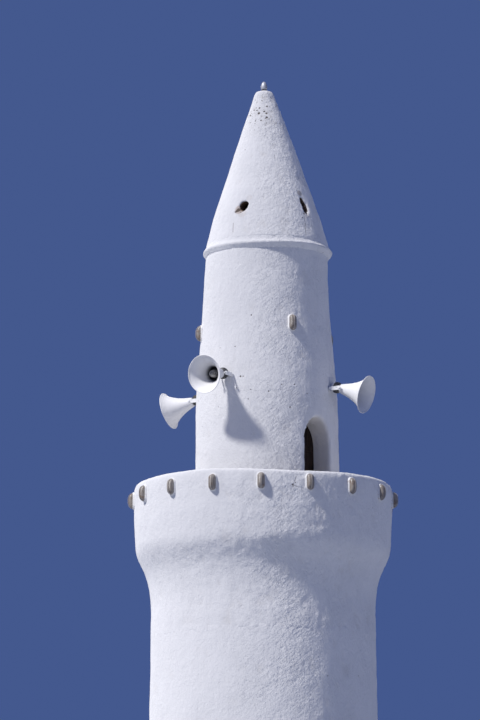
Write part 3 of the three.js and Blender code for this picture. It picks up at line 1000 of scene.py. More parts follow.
shaft_outline = smooth_curve(SHAFT_PROFILE, 0.05)
shaft_outline += [(SHAFT_BORE, height) for _, height in (SHAFT_PROFILE[-1], SHAFT_PROFILE[0])]
shaft_plaster = turned_object("shaft_plaster", shaft_outline, sides=96, centre=centre_at)
shaft_cutter = doorway_cutter(
    "gallery doorway", GALLERY_DOORWAY, DOORWAY_FLARE, DOORWAY_AZIMUTH, SHAFT_CENTRE
)
changed_by(shaft_plaster, [shaft_cutter])
shaft_relief = {"Sag": 0.007, "Lump": 0.0040, "Dab": 0.0042, "Stroke": 0.0015, "Seed": 3.0}
plastered(shaft_plaster, square=0.0226, softening=1, rough_azimuth=60, rough_gain=0.6, **shaft_relief)
# marks the doorway's sides and the shaft's inside for their painted shade
note_depth(shaft_plaster, "handled", SHAFT_PROFILE, cover=0.015, fade=0.05)
dressed(shaft_plaster, "tower", "whitewash", *nodes_named("shaft_wall"))

# %% [markdown]
# ## Ring moulding and cone
#
# A ring of plaster hides the joint between the shaft and the cone, and throws the rain off. The cone runs
# out into it, and its lower side slants back. It was run by hand, so it waves and hangs a little lower in
# front. The cone is hollow, with five vents. The vent on the front has crumbled towards its lower left, and
# its neighbour on the right into a tall ragged slot, half filled with its own crumbs. Each vent's cutter is
# an oval whose edge wobbles. Inside the vents and the cone no lime covers the brown plaster, and deeper in
# it goes near black, as painted shade.

# %% Ring plaster
RING_OUTLINE = [
    (0.784, 11.614), (0.797, 11.624), (0.817, 11.650), (0.835, 11.673), (0.840, 11.686),
    (0.836, 11.698), (0.823, 11.713), (0.808, 11.734), (0.790, 11.775),
]
RING_BORE = 0.62
RING_TOP = 11.775
RING_FOOT = 11.610

ring_outline = smooth_curve(RING_OUTLINE, 0.012) + [(RING_BORE, RING_TOP), (RING_BORE, RING_FOOT)]
ring_plaster = turned_object("ring_plaster", ring_outline, sides=120, centre=centre_at)
ring_relief = {"Sag": 0.006, "Lump": 0.006, "Dab": 0.005, "Stroke": 0.0, "Seed": 4.0}
plastered(ring_plaster, square=0.0095, softening=1, **ring_relief)

# %% The ring's dip
RING_DIP = 0.032
RING_DIP_WIDTH = 42
RING_FOLD = 11.740


def dipped_ring(points):
    """Lets the ring hang lower at the front, and leaves its upper edge on the cone."""
    share = np.clip((RING_TOP - points[:, 2]) / (RING_TOP - RING_FOLD), 0, 1)
    points[:, 2] -= share * hanging(points, RING_DIP, 0, RING_DIP_WIDTH)
    return points


moved_points(ring_plaster, dipped_ring)
dressed(ring_plaster, "tower", "whitewash", "ring_moulding")
print("ring dips by", RING_DIP, "m")

# %% The cone's vents
Vent = namedtuple("Vent", "azimuth level width height wobble lean drift")
# drift is how far the crumbled mouth has moved to the right and upwards
VENTS = [
    Vent(-26.0, 12.186, 0.124, 0.128, wobble=0.10, lean=0.04, drift=(0.0, 0.0)),
    Vent(46.5, 12.225, 0.100, 0.235, wobble=0.22, lean=-0.22, drift=(0.0, 0.01)),
    Vent(119.0, 12.200, 0.125, 0.145, wobble=0.08, lean=0.0, drift=(0.01, -0.01)),
    Vent(190.0, 12.200, 0.125, 0.145, wobble=0.10, lean=0.1, drift=(-0.01, -0.012)),
    Vent(262.0, 12.200, 0.125, 0.145, wobble=0.07, lean=0.0, drift=(0.0, -0.012)),
]
# how much smaller, and how much higher, the hole is where it goes on through the wall
WHOLE = (1.0, 0.0)
HALF_FILLED = (0.55, 0.055)
VENT_CORES = [WHOLE, HALF_FILLED, WHOLE, WHOLE, WHOLE]
# distance from the axis, how much wider the hole is there, and how far its crumbled mouth has drifted
VENT_FLARE = [
    (0.15, 1.0, 0.0), (0.615, 1.0, 0.0), (0.640, 1.0, 0.4), (0.676, 1.05, 1.0), (0.70, 1.28, 1.6),
    (0.95, 3.0, 3.0),
]
CORE_REACH = 0.62
VENT_STEPS = 28


def vent_cutter(index, vent):
    """An oval cutter whose edge wobbles, wider where the vent's mouth has crumbled."""
    sections = []
    for distance, scale, drift in VENT_FLARE:
        smaller, higher = VENT_CORES[index] if distance < CORE_REACH else WHOLE
        scale *= smaller
        section = []
        for k in range(VENT_STEPS):
            angle = 2 * math.pi * k / VENT_STEPS
            waves = 0.6 * math.sin(3 * angle + index * 2.1)
            waves += 0.5 * math.sin(7 * angle + index + 9 * distance)
            ragged = 1 + vent.wobble * waves
            up = vent.height / 2 * scale * ragged * math.sin(angle)
            across = vent.width / 2 * scale * ragged * math.cos(angle) + vent.lean * up
            across += drift * vent.drift[0]
            up += drift * vent.drift[1] + higher
            section.append((across, -distance, vent.level + up))
        sections.append(section)
    return outward_cutter(f"vent {index + 1}", sections, vent.azimuth, centre_at(vent.level))


print("vents", len(VENTS))

# %% Cone plaster
CONE_BORE = [(0.0, 13.25), (0.17, 13.25), (0.655, 11.735)]

cone_outline = CONE_BORE + smooth_curve(CONE_PROFILE[:-1], 0.03) + [CONE_PROFILE[-1]]
cone_plaster = turned_object("cone_plaster", cone_outline, sides=96, centre=centre_at)
cutters = [vent_cutter(index, vent) for index, vent in enumerate(VENTS)]
changed_by(cone_plaster, cutters)
cone_relief = {"Sag": 0.006, "Lump": 0.004, "Dab": 0.003, "Stroke": 0.0025, "Seed": 5.0}
plastered(cone_plaster, square=0.0155, softening=2, rough_azimuth=70, rough_gain=0.8, **cone_relief)
# marks the bare plaster inside the vents and the cone, which also carries painted shade
note_depth(cone_plaster, "bare", CONE_PROFILE, cover=0.010, fade=0.035)
dressed(cone_plaster, "tower", "whitewash", *nodes_named("cone_cap"))

# %% [markdown]
# ## Floors
#
# The gallery's floor and the floor inside the tower are a grey lime and cement screed, floated by hand.
# They go through the same steps as the walls, with a much flatter relief and a coating of their own: a warm
# grey, darker where feet and rain have polished it, with hair cracks where the screed has shrunk.

# %% Screed material
SCREED_GREY = rgb(0.66, 0.61, 0.53)
SCREED_WORN = rgb(0.47, 0.43, 0.36)
PALE_GRIT = rgb(0.76, 0.73, 0.66)
CRACK_DARK = rgb(0.12, 0.11, 0.10)


def screed():
    material, tree, shader, place = new_material("screed")
    worn = remap(tree, noise(tree, place, 2.4, 4, 0.6), 0.40, 0.68)
    colour = tinted(tree, SCREED_GREY, SCREED_WORN, worn, 0.7)
    speckle = remap(tree, noise(tree, place, 160.0, 1, 0.5, 2.0), 0.60, 0.70)
    colour = tinted(tree, colour, PALE_GRIT, speckle, 0.35)
    cells = {"Vector": place, "Scale": 1.7}
    edges = add_node(tree, "ShaderNodeTexVoronoi", cells, feature="DISTANCE_TO_EDGE")
    line = remap(tree, edges.outputs["Distance"], 0.002, 0.009, 1.0, 0.0)
    broken = remap(tree, noise(tree, place, 3.0, 2, 0.5, 6.0), 0.45, 0.6)
    cracked = times(tree, line, broken)
    colour = tinted(tree, colour, CRACK_DARK, cracked, 0.7)
    floated = swing(tree, noise(tree, place, 14.0, 3, 0.5, 1.0, 1.2), 0.0012)
    grit = swing(tree, noise(tree, place, 240.0, 2, 0.6, 3.0), 0.0004)
    height = total(tree, floated, grit, times(tree, cracked, -0.002))
    finish_surface(tree, shader, colour, remap(tree, worn, 0.0, 1.0, 0.9, 0.72), height)
    return material


screed_material = screed()
print("screed nodes", len(screed_material.node_tree.nodes))

# %% Gallery floor and ground floor
FLOATED = {
    "square": 0.03,
    "softening": 1,
    "finish": screed_material,
    "Sag": 0.003,
    "Lump": 0.0015,
    "Dab": 0.0006,
    "Stroke": 0.0,
    "Fineness": 0.6,
}
GALLERY_SCREED = [(0, 7.505), (1.06, 7.505), (1.06, 7.62), (1.47, 7.62), (1.47, 7.722), (0, 7.722)]
GROUND_SCREED_RADIUS = 0.915
SILL_HALF_WIDTH = 0.36
SILL_REACH = (0.80, 1.495)

gallery_screed = turned_object("gallery_screed", GALLERY_SCREED, sides=96)
plastered(gallery_screed, Seed=7.0, **FLOATED)
dressed(gallery_screed, "tower", "floor_screed", "gallery_floor")

thickness = GROUND_DOORWAY["foot"]
ground_outline = [(0, 0.0), (GROUND_SCREED_RADIUS, 0.0)]
ground_outline += [(GROUND_SCREED_RADIUS, thickness), (0, thickness)]
ground_screed = turned_object("ground_screed", ground_outline, sides=96)
sill_corners = [(-SILL_HALF_WIDTH, 0.0), (SILL_HALF_WIDTH, 0.0)]
sill_corners += [(SILL_HALF_WIDTH, thickness), (-SILL_HALF_WIDTH, thickness)]
sill = [[(x, y, z) for x, z in sill_corners] for y in SILL_REACH]
changed_by(ground_screed, [lofted_object("sill", sill)], "UNION")
plastered(ground_screed, Seed=8.0, **FLOATED)
moved_points(ground_screed, standing)
dressed(ground_screed, "tower", "floor_screed", "ground_floor")

# %% [markdown]
# ## Gallery door
#
# Behind the arch hangs a leaf of upright boards, with a rail across it at the springing and a lower ledge,
# all oiled long ago and bleached since. The boards repeat, so Geometry Nodes set one board beside the next,
# and each gets a number of its own that its wood reads. The row is then trimmed to the arch.

# %% Weathered wood
WOOD = rgb(0.009, 0.0055, 0.004)
BLEACHED_WOOD = rgb(0.036, 0.023, 0.016)
WOOD_SHADE = rgb(0.004, 0.003, 0.0025)


def weathered_wood():
    material, tree, shader, place = new_material("weathered wood")
    board = attribute(tree, "board")
    apart = add_node(tree, "ShaderNodeCombineXYZ", {2: times(tree, board, 31.0)}).outputs[0]
    shifted = vector_maths(tree, "ADD", stretched(tree, place, 55, 2.6), apart)[0]
    fibres = noise(tree, shifted, 1.0, 5, 0.65, 0.0, 0.6)
    colour = mixed(tree, remap(tree, fibres, 0.32, 0.68), WOOD, BLEACHED_WOOD)
    colour = tinted(tree, colour, WOOD_SHADE, board, 0.75)
    split = remap(tree, fibres, 0.26, 0.33, 1.0, 0.0)
    colour = tinted(tree, colour, WOOD_SHADE, split, 0.8)
    height = total(tree, swing(tree, fibres, 0.0012), times(tree, split, -0.0008))
    finish_surface(tree, shader, colour, 0.85, height)
    shader.inputs["Specular IOR Level"].default_value = 0.15
    return material


wood_material = weathered_wood()
print("wood nodes", len(wood_material.node_tree.nodes))

# %% Sizes of the leaf, and rounded boxes
LEAF_FACE = 0.60
LEAF_THICKNESS = 0.045
LEAF_BOARDS = 5
BOARD_GAP = 0.003
BOARD_EDGE = 0.004


def bevelled(thing, width):
    """The same piece with its sharp edges rounded."""
    rounding = thing.modifiers.new("rounded edges", "BEVEL")
    rounding.width = width
    rounding.segments = 2
    rounding.limit_method = "ANGLE"
    return frozen(thing)


def box_object(name, low, high, bevel):
    """A box between two corners, its edges rounded."""
    points = [(x, y, z) for x in (low[0], high[0]) for y in (low[1], high[1]) for z in (low[2], high[2])]
    faces = [(0, 1, 3, 2), (4, 6, 7, 5), (0, 4, 5, 1), (2, 3, 7, 6), (0, 2, 6, 4), (1, 5, 7, 3)]
    return bevelled(new_object(name, mesh_of(name, points, faces, smooth=False)), bevel)


# %% A row of boards, as a Geometry Nodes tree


def random_number(tree, values, seed):
    """One random number for each copy, between 0 and 1 or as the values say."""
    values = {**values, "Seed": seed}
    return add_node(tree, "FunctionNodeRandomValue", values, data_type="FLOAT").outputs[1]


def copies_on(tree, points, thing, **values):
    """A copy of one object on each point."""
    shape = add_node(tree, "GeometryNodeObjectInfo", {"Object": thing}).outputs["Geometry"]
    values = {"Points": points, "Instance": shape, **values}
    return add_node(tree, "GeometryNodeInstanceOnPoints", values).outputs[0]


def row_tree():
    """Sets copies of one thing side by side along X, centred on the middle, and numbers each at random."""
    tree, given = new_geometry_tree(
        "row of boards",
        [
            ("Board", "NodeSocketObject"),
            ("Count", "NodeSocketInt", 5),
            ("Pitch", "NodeSocketFloat", 0.1),
            ("Seed", "NodeSocketInt", 0),
            ("Material", "NodeSocketMaterial"),
        ],
    )
    steps = maths(tree, "SUBTRACT", given["Count"], 1.0)
    first = times(tree, times(tree, steps, given["Pitch"]), -0.5)
    start = add_node(tree, "ShaderNodeCombineXYZ", {0: first}).outputs[0]
    step = add_node(tree, "ShaderNodeCombineXYZ", {0: given["Pitch"]}).outputs[0]
    values = {"Count": given["Count"], "Start Location": start, "Offset": step}
    line = add_node(tree, "GeometryNodeMeshLine", values).outputs[0]
    row = copies_on(tree, line, given["Board"])
    numbered = store(tree, row, "board", random_number(tree, {}, given["Seed"]), "INSTANCE")
    return close_geometry_tree(tree, numbered, given["Material"])


# %% The boards of the leaf
LEAF_OVERLAP = 0.03
LEAF_HEADROOM = 0.038
LEAF_LIFT = 0.008
TRIMMED_OFF = 0.05
TRIM_REACH = 0.2

leaf_width = GALLERY_DOORWAY["width"] + LEAF_OVERLAP
pitch = leaf_width / LEAF_BOARDS
half_board = (pitch - BOARD_GAP) / 2
leaf_foot = GALLERY_DOORWAY["foot"] + LEAF_LIFT
leaf_top = leaf_foot + GALLERY_DOORWAY["height"] + TRIMMED_OFF
low_corner = (-half_board, -LEAF_FACE, leaf_foot)
high_corner = (half_board, -LEAF_FACE + LEAF_THICKNESS, leaf_top)
board = box_object("board", low_corner, high_corner, BOARD_EDGE)
gallery_door_boards = new_object("gallery_door_boards", mesh_of("carrier", [(0, 0, 0)], []))
row = {"Board": board, "Count": LEAF_BOARDS, "Pitch": pitch, "Seed": 4, "Material": wood_material}
grown_by(gallery_door_boards, row_tree(), **row)
discard(board)
arch_height = GALLERY_DOORWAY["height"] + LEAF_HEADROOM
arch = [
    arch_section(leaf_width, arch_height, GALLERY_DOORWAY["foot"], distance, below=TRIMMED_OFF)
    for distance in (LEAF_FACE - TRIM_REACH, LEAF_FACE + TRIM_REACH)
]
changed_by(gallery_door_boards, [lofted_object("arch", arch)], "INTERSECT")
gallery_door_boards.data.transform(facing(DOORWAY_AZIMUTH, SHAFT_CENTRE))
dressed(gallery_door_boards, "tower", "door_wood", "gallery_door_leaf")
print("door boards, faces", len(gallery_door_boards.data.polygons))

# %% The leaf's rails
LEAF_RAILS = [(9.015, 9.085), (7.90, 7.98)]
RAIL_HALF_LENGTH = 0.215
RAIL_DEPTH = 0.016

rails = []
for number, (low, high) in enumerate(LEAF_RAILS):
    low_corner = (-RAIL_HALF_LENGTH, -LEAF_FACE - RAIL_DEPTH, low)
    high_corner = (RAIL_HALF_LENGTH, -LEAF_FACE + BOARD_EDGE, high)
    rails.append(box_object(f"rail_{number}", low_corner, high_corner, BOARD_EDGE))


def joined(name, things):
    """One object from several, with their materials and places kept."""
    shape = bmesh.new()
    for thing in things:
        shape.from_mesh(thing.data)
    mesh = bpy.data.meshes.new(name)
    shape.to_mesh(mesh)
    shape.free()
    for material in dict.fromkeys(m for thing in things for m in thing.data.materials if m):
        mesh.materials.append(material)
    discard(*things)
    return new_object(name, mesh)


def coated(thing, material):
    thing.data.materials.clear()
    thing.data.materials.append(material)
    return thing


gallery_door_rails = coated(joined("gallery_door_rails", rails), wood_material)
gallery_door_rails.data.transform(facing(DOORWAY_AZIMUTH, SHAFT_CENTRE))
dressed(gallery_door_rails, "tower", "door_wood")
print("door rails, faces", len(gallery_door_rails.data.polygons))

# %% [markdown]
# ## Metals and paints
#
# Four coatings serve the fittings. The horns wear a white enamel that has dulled and gathered dust in the
# mouth, and their mouths carry painted shade that deepens to near black in the throat. Their drivers are
# black, greyed on top. The brackets are galvanised straps, splashed with limewash by whoever painted the
# wall behind them. The finial is tin gone dull, and its foot, under the knob, is almost black.

# %% Colours of the coatings
ENAMEL = rgb(0.73, 0.73, 0.74)
DULLED_ENAMEL = rgb(0.55, 0.54, 0.53)
ENAMEL_SPECKS = rgb(0.23, 0.15, 0.10)
# dust, with painted shade that deepens towards the throat
MOUTH_DUST_AND_SHADE = rgb(0.30, 0.29, 0.28)
# painted shade: the near black of the throat
PAINTED_THROAT_SHADE = rgb(0.012, 0.012, 0.014)
CUP_DARK = rgb(0.10, 0.095, 0.09)
CUP_PALE = rgb(0.36, 0.345, 0.32)
DRIVER_BLACK = rgb(0.008, 0.008, 0.010)
DRIVER_DUST = rgb(0.06, 0.057, 0.055)
ZINC = rgb(0.60, 0.61, 0.62)
BRIGHT_ZINC = rgb(0.72, 0.73, 0.74)
LIME_SPLASH = rgb(0.82, 0.82, 0.83)
ZINC_RUST = rgb(0.22, 0.10, 0.045)
TIN = rgb(0.36, 0.375, 0.42)
TIN_RUST = rgb(0.12, 0.06, 0.032)
# almost black, for the finial's foot under the knob
FOOT_BLACK_TIN = rgb(0.020, 0.013, 0.010)
FINIAL_FOOT = 13.875

# %% Enamel and driver black


def enamel():
    material, tree, shader, place = new_material("white enamel")
    clouds = remap(tree, noise(tree, place, 9.0, 4, 0.6), 0.40, 0.75)
    colour = tinted(tree, ENAMEL, DULLED_ENAMEL, clouds, 0.35)
    specks = remap(tree, noise(tree, place, 75.0, 3, 0.7, 5.0), 0.66, 0.74)
    colour = tinted(tree, colour, ENAMEL_SPECKS, specks, 0.55)
    # dust and painted shade deeper in the mouth, then the throat's painted shade, near black
    colour = tinted(tree, colour, MOUTH_DUST_AND_SHADE, attribute(tree, "deep"), 0.5)
    colour = mixed(tree, attribute(tree, "throat"), colour, PAINTED_THROAT_SHADE)
    streaks = remap(tree, noise(tree, place, 45.0, 3, 0.6, 6.0), 0.40, 0.60)
    cup_colour = mixed(tree, streaks, CUP_DARK, CUP_PALE)
    colour = mixed(tree, attribute(tree, "cup"), colour, cup_colour)
    ripples = swing(tree, noise(tree, place, 30.0, 3), 0.0004)
    height = total(tree, ripples, swing(tree, noise(tree, place, 420.0, 1), 0.00008))
    finish_surface(tree, shader, colour, remap(tree, clouds, 0, 1, 0.42, 0.62), height)
    return material


def driver_black():
    material, tree, shader, place = new_material("driver black")
    dust = remap(tree, noise(tree, place, 24.0, 4, 0.65), 0.42, 0.72)
    colour = tinted(tree, DRIVER_BLACK, DRIVER_DUST, dust, 0.30)
    height = swing(tree, noise(tree, place, 260.0, 2, 0.6), 0.00025)
    finish_surface(tree, shader, colour, remap(tree, dust, 0, 1, 0.42, 0.75), height)
    return material


# %% Galvanised steel and tarnished tin


def galvanised():
    material, tree, shader, place = new_material("galvanised steel")
    spangle = add_node(tree, "ShaderNodeTexVoronoi", {"Vector": place, "Scale": 70.0})
    colour = mixed(tree, random_colour(tree, spangle), ZINC, BRIGHT_ZINC)
    splashed = remap(tree, noise(tree, place, 22.0, 4, 0.65, 3.0), 0.44, 0.52)
    colour = tinted(tree, colour, LIME_SPLASH, splashed, 0.85)
    rust = remap(tree, noise(tree, place, 34.0, 4, 0.7, 8.0), 0.62, 0.70)
    colour = tinted(tree, colour, ZINC_RUST, rust, 0.75)
    shader.inputs["Metallic"].default_value = 0.1
    height = total(tree, swing(tree, noise(tree, place, 90.0, 2), 0.0003), times(tree, splashed, 0.0005))
    finish_surface(tree, shader, colour, remap(tree, splashed, 0, 1, 0.45, 0.85), height)
    return material


def tarnished_tin():
    material, tree, shader, place = new_material("tarnished tin")
    rust = remap(tree, noise(tree, place, 38.0, 4, 0.65), 0.52, 0.72)
    colour = tinted(tree, TIN, TIN_RUST, rust, 0.6)
    ragged = total(tree, height_of(tree, place), swing(tree, noise(tree, place, 60.0, 2), 0.012))
    # the foot under the knob goes almost black
    black_foot = remap(tree, ragged, FINIAL_FOOT + 0.034, FINIAL_FOOT + 0.052, 1.0, 0.0)
    colour = mixed(tree, black_foot, colour, FOOT_BLACK_TIN)
    shader.inputs["Metallic"].default_value = 0.3
    height = swing(tree, noise(tree, place, 120.0, 3, 0.6), 0.0004)
    finish_surface(tree, shader, colour, remap(tree, rust, 0, 1, 0.45, 0.85), height)
    return material


enamel_material = enamel()
driver_material = driver_black()
galvanised_material = galvanised()
tin_material = tarnished_tin()
print("coatings", [m.name for m in (enamel_material, driver_material, galvanised_material, tin_material)])

# %% The finial
# how far to the right it stands, and its outline as radius and height above its foot
FINIAL_PLACE = 0.020
FINIAL_OUTLINE = [
    (0.030, 0.0), (0.024, 0.014), (0.023, 0.026), (0.034, 0.038), (0.0415, 0.056), (0.0425, 0.078),
    (0.0385, 0.104), (0.029, 0.130), (0.015, 0.149),
]
FINIAL_HEIGHT = 0.1545

finial_outline = [(0, FINIAL_FOOT)]
finial_outline += [(radius, FINIAL_FOOT + up) for radius, up in smooth_curve(FINIAL_OUTLINE, 0.004)]
finial_outline += [(0, FINIAL_FOOT + FINIAL_HEIGHT)]
finial_knob = turned_object("finial_knob", finial_outline, sides=40, centre=lambda height: FINIAL_PLACE)
dressed(coated(finial_knob, tin_material), "tower", "finial_metal", "finial")
print("top of the finial", round(FINIAL_FOOT + FINIAL_HEIGHT, 4), "m")

# %% [markdown]
# ## Oval lamps
#
# Seventeen oval bulkhead lamps ring the parapet under its rim, and four more ring the shaft. Each has a
# white base plate and bezel, a ribbed glass that bulges like a D seen from the side, and an upright guard
# over it. One lamp of each part is made facing the front. Geometry Nodes then set copies on the wall at a
# row of points, turned outwards and a little crooked, and note each lamp's age, so that no two are equally
# dusty.

# %% Lamp glass and lamp paint
GLASS = rgb(0.25, 0.228, 0.205)
DUSTY_GLASS = rgb(0.155, 0.13, 0.108)
GLASS_MUD = rgb(0.13, 0.09, 0.065)
GLASS_RUST = rgb(0.115, 0.058, 0.026)
GROOVE_DIRT = rgb(0.10, 0.08, 0.06)
LAMP_WHITE = rgb(0.76, 0.76, 0.77)
LAMP_YELLOWED = rgb(0.64, 0.635, 0.63)
GUARD_BROWN = rgb(0.25, 0.21, 0.175)
PAINT_RUST = rgb(0.22, 0.11, 0.05)


def dusty_glass():
    material, tree, shader, place = new_material("dusty ribbed glass")
    age = attribute(tree, "lamp_age")
    dust = remap(tree, noise(tree, place, 17.0, 4, 0.65), 0.36, 0.70)
    colour = mixed(tree, dust, GLASS, DUSTY_GLASS)
    colour = tinted(tree, colour, GLASS_MUD, attribute(tree, "low"), 0.3)
    rust = remap(tree, noise(tree, place, 21.0, 4, 0.7, 4.0), 0.53, 0.62)
    colour = tinted(tree, colour, GLASS_RUST, rust, maths(tree, "ADD", times(tree, age, 0.6), 0.35))
    colour = tinted(tree, colour, GROOVE_DIRT, attribute(tree, "groove"), 0.5)
    height = swing(tree, noise(tree, place, 160.0, 2), 0.0003)
    finish_surface(tree, shader, colour, remap(tree, dust, 0, 1, 0.28, 0.6), height)
    shader.inputs["Coat Weight"].default_value = 0.25
    shader.inputs["Coat Roughness"].default_value = 0.2
    return material


def lamp_paint():
    material, tree, shader, place = new_material("lamp paint")
    age = attribute(tree, "lamp_age")
    colour = mixed(tree, noise(tree, place, 20.0, 3), LAMP_WHITE, LAMP_YELLOWED)
    colour = tinted(tree, colour, GUARD_BROWN, attribute(tree, "guard"), 0.85)
    rust = remap(tree, noise(tree, place, 30.0, 4, 0.7, 2.0), 0.56, 0.66)
    colour = tinted(tree, colour, PAINT_RUST, rust, times(tree, age, 0.8))
    height = swing(tree, noise(tree, place, 90.0, 3), 0.0006)
    finish_surface(tree, shader, colour, 0.6, height)
    return material


glass_material = dusty_glass()
paint_material = lamp_paint()
print("lamp coatings", glass_material.name, "and", paint_material.name)

# %% Sizes of one lamp, which faces the front
LAMP_WIDTH = 0.114
LAMP_HEIGHT = 0.226
LAMP_DEPTH = 0.088
PLATE_DEPTH = 0.016
LAMP_SUNK = 0.020
GLASS_INSET = 0.011
GLASS_SUNK = 0.008
GLASS_FULLNESS = 2.6
GLASS_ROUNDING = 0.55
GLASS_ROWS = 66
GLASS_STEPS = 12
RIB_PITCH = 0.0122
RIB_HEIGHT = 0.0018
RIB_FLARE = 0.012
GUARD_ROOM = 0.005
GUARD_GAP = 0.0035
GUARD_REACH = 0.100
GUARD_WIDTH = 0.010
GUARD_THICKNESS = 0.0030
# distance in front of the wall, and how far inside the lamp's edge
PLATE_STEPS = [
    (-LAMP_SUNK, 0.001),
    (PLATE_DEPTH - 0.007, 0.0),
    (PLATE_DEPTH - 0.002, 0.001),
    (PLATE_DEPTH, 0.003),
    (PLATE_DEPTH, 0.03),
]
BEZEL_STEPS = [
    (PLATE_DEPTH - 0.004, 0.004),
    (PLATE_DEPTH + 0.005, 0.0045),
    (PLATE_DEPTH + 0.009, 0.007),
    (PLATE_DEPTH + 0.009, 0.012),
    (PLATE_DEPTH - 0.004, 0.014),
]
print("lamp", LAMP_WIDTH, "by", LAMP_HEIGHT, "m")

# %% The lamp's oval outline


def oval(width, height, steps=20):
    """Points round an upright oval with straight sides."""
    radius, straight = width / 2, (height - width) / 2
    ring = []
    for side, start in ((1, 0.0), (-1, math.pi)):
        for k in range(steps + 1):
            angle = start + math.pi * k / steps
            ring.append((radius * math.cos(angle), side * straight + radius * math.sin(angle)))
    return ring


def oval_stack(name, steps):
    """A solid whose outline is the lamp's oval at each of its steps."""
    sections = []
    for distance, inset in steps:
        edge = oval(LAMP_WIDTH - 2 * inset, LAMP_HEIGHT - 2 * inset)
        sections.append([(x, -distance, z) for x, z in edge])
    return lofted_object(name, sections)


# %% The lamp's glass


def glass_bulge(up):
    """How far the glass stands out of its plate at a height from its middle: a D seen from the side."""
    share = min(1.0, abs(up) / (LAMP_HEIGHT / 2 - GLASS_INSET))
    return (LAMP_DEPTH - PLATE_DEPTH - GUARD_ROOM) * (1 - share**GLASS_FULLNESS) ** GLASS_ROUNDING


def lamp_glass():
    """The bulging glass with its level ribs. Its grooves and its lower end are noted for the dirt."""
    half_height = LAMP_HEIGHT / 2 - GLASS_INSET
    half_width = LAMP_WIDTH / 2 - GLASS_INSET
    straight = half_height - half_width
    rows, grooves = [], []
    for up in np.linspace(-half_height, half_height, GLASS_ROWS):
        beyond = max(0.0, abs(up) - straight)
        reach = math.sqrt(max(0.0, half_width**2 - beyond**2)) + 0.0005
        wave = math.cos(2 * math.pi * up / RIB_PITCH)
        row = [(-reach, -PLATE_DEPTH + GLASS_SUNK, up)]
        for k in range(1, GLASS_STEPS):
            angle = math.pi * k / GLASS_STEPS
            rise = math.sin(angle) ** GLASS_ROUNDING
            out = PLATE_DEPTH + (glass_bulge(up) - 0.002 + RIB_HEIGHT * wave) * rise
            row.append((-reach * math.cos(angle) * (1 + RIB_FLARE * wave), -out, up))
        row.append((reach, -PLATE_DEPTH + GLASS_SUNK, up))
        rows.append(row)
        grooves += [0.5 - 0.5 * wave] * len(row)
    points, faces = lofted_parts(rows)
    mesh = bpy.data.meshes.new("lamp glass")
    mesh.from_pydata(points, [], faces)
    note(mesh, "groove", grooves)
    note(mesh, "low", np.clip(0.5 - points_of(mesh)[:, 2] / LAMP_HEIGHT, 0, 1))
    mesh.shade_smooth()
    return new_object("lamp glass", mesh)


# %% Plate, bezel and guard


def sideways_of(line):
    """The unit direction across a line in a plane, at each of its points."""
    along = np.gradient(line, axis=0)
    return np.column_stack([along[:, 1], -along[:, 0]]) / np.linalg.norm(along, axis=1)[:, None]


def swept(name, path, width, thickness):
    """A flat strap of a given width along X and a thickness, along a path in the plane x = 0."""
    path = np.array(path, float)
    half = width / 2
    sections = []
    for (y, z), (out, up) in zip(path, sideways_of(path) * thickness / 2):
        near, far = (y - out, z - up), (y + out, z + up)
        sections.append([(-half, *near), (half, *near), (half, *far), (-half, *far)])
    return bevelled(lofted_object(name, sections, smooth=False), thickness * 0.3)


glass = lamp_glass()
plate = oval_stack("plate", PLATE_STEPS)
bezel = oval_stack("bezel", BEZEL_STEPS)
guard_levels = np.linspace(-GUARD_REACH, GUARD_REACH, 41)
guard_path = [(-PLATE_DEPTH - glass_bulge(up) - GUARD_GAP, up) for up in guard_levels]
guard = swept("guard", guard_path, GUARD_WIDTH, GUARD_THICKNESS)
note(guard.data, "guard", np.ones(len(guard.data.vertices)))
lamp_body = joined("lamp body", [plate, bezel, guard])
print("one lamp, faces", len(glass.data.polygons) + len(lamp_body.data.polygons))

# %% Lamps set round the walls, as a Geometry Nodes tree


def wall_fittings_tree():
    tree, given = new_geometry_tree(
        "fittings round a wall",
        [
            ("Fitting", "NodeSocketObject"),
            ("Axis X", "NodeSocketFloat", 0.0),
            ("Lean", "NodeSocketFloat", 0.02),
            ("Seed", "NodeSocketInt", 0),
            ("Material", "NodeSocketMaterial"),
        ],
    )
    position = add_node(tree, "GeometryNodeInputPosition").outputs[0]
    place = add_node(tree, "ShaderNodeSeparateXYZ", {0: position}).outputs
    sideways = maths(tree, "SUBTRACT", place["X"], given["Axis X"])
    azimuth = maths(tree, "ARCTAN2", sideways, times(tree, place["Y"], -1.0))
    spread = {2: times(tree, given["Lean"], -1.0), 3: given["Lean"]}
    lean = random_number(tree, spread, given["Seed"])
    turn = add_node(tree, "ShaderNodeCombineXYZ", {1: lean, 2: azimuth}).outputs[0]
    row = copies_on(tree, given["Geometry"], given["Fitting"], Rotation=turn)
    aged = store(tree, row, "lamp_age", random_number(tree, {}, given["Seed"]), "INSTANCE")
    return close_geometry_tree(tree, aged, given["Material"])


wall_fittings = wall_fittings_tree()

# %% The two rows of lamps
DRUM_LAMPS = 17
FIRST_DRUM_LAMP = -0.8
SHAFT_LAMP_LEVEL = 10.60
LAMP_LEAN = 0.022

LampRow = namedtuple("LampRow", "azimuths radius level centre seed")
drum_azimuths = [FIRST_DRUM_LAMP + 360 * i / DRUM_LAMPS for i in range(DRUM_LAMPS)]
shaft_azimuths = [22.6, 111, 192, -81]
shaft_radius = radius_on(SHAFT_PROFILE, SHAFT_LAMP_LEVEL)
LAMP_ROWS = {
    "drum_lamp": LampRow(drum_azimuths, radius=1.650, level=8.41, centre=0.0, seed=11),
    "shaft_lamp": LampRow(shaft_azimuths, shaft_radius, SHAFT_LAMP_LEVEL, SHAFT_CENTRE, seed=12),
}


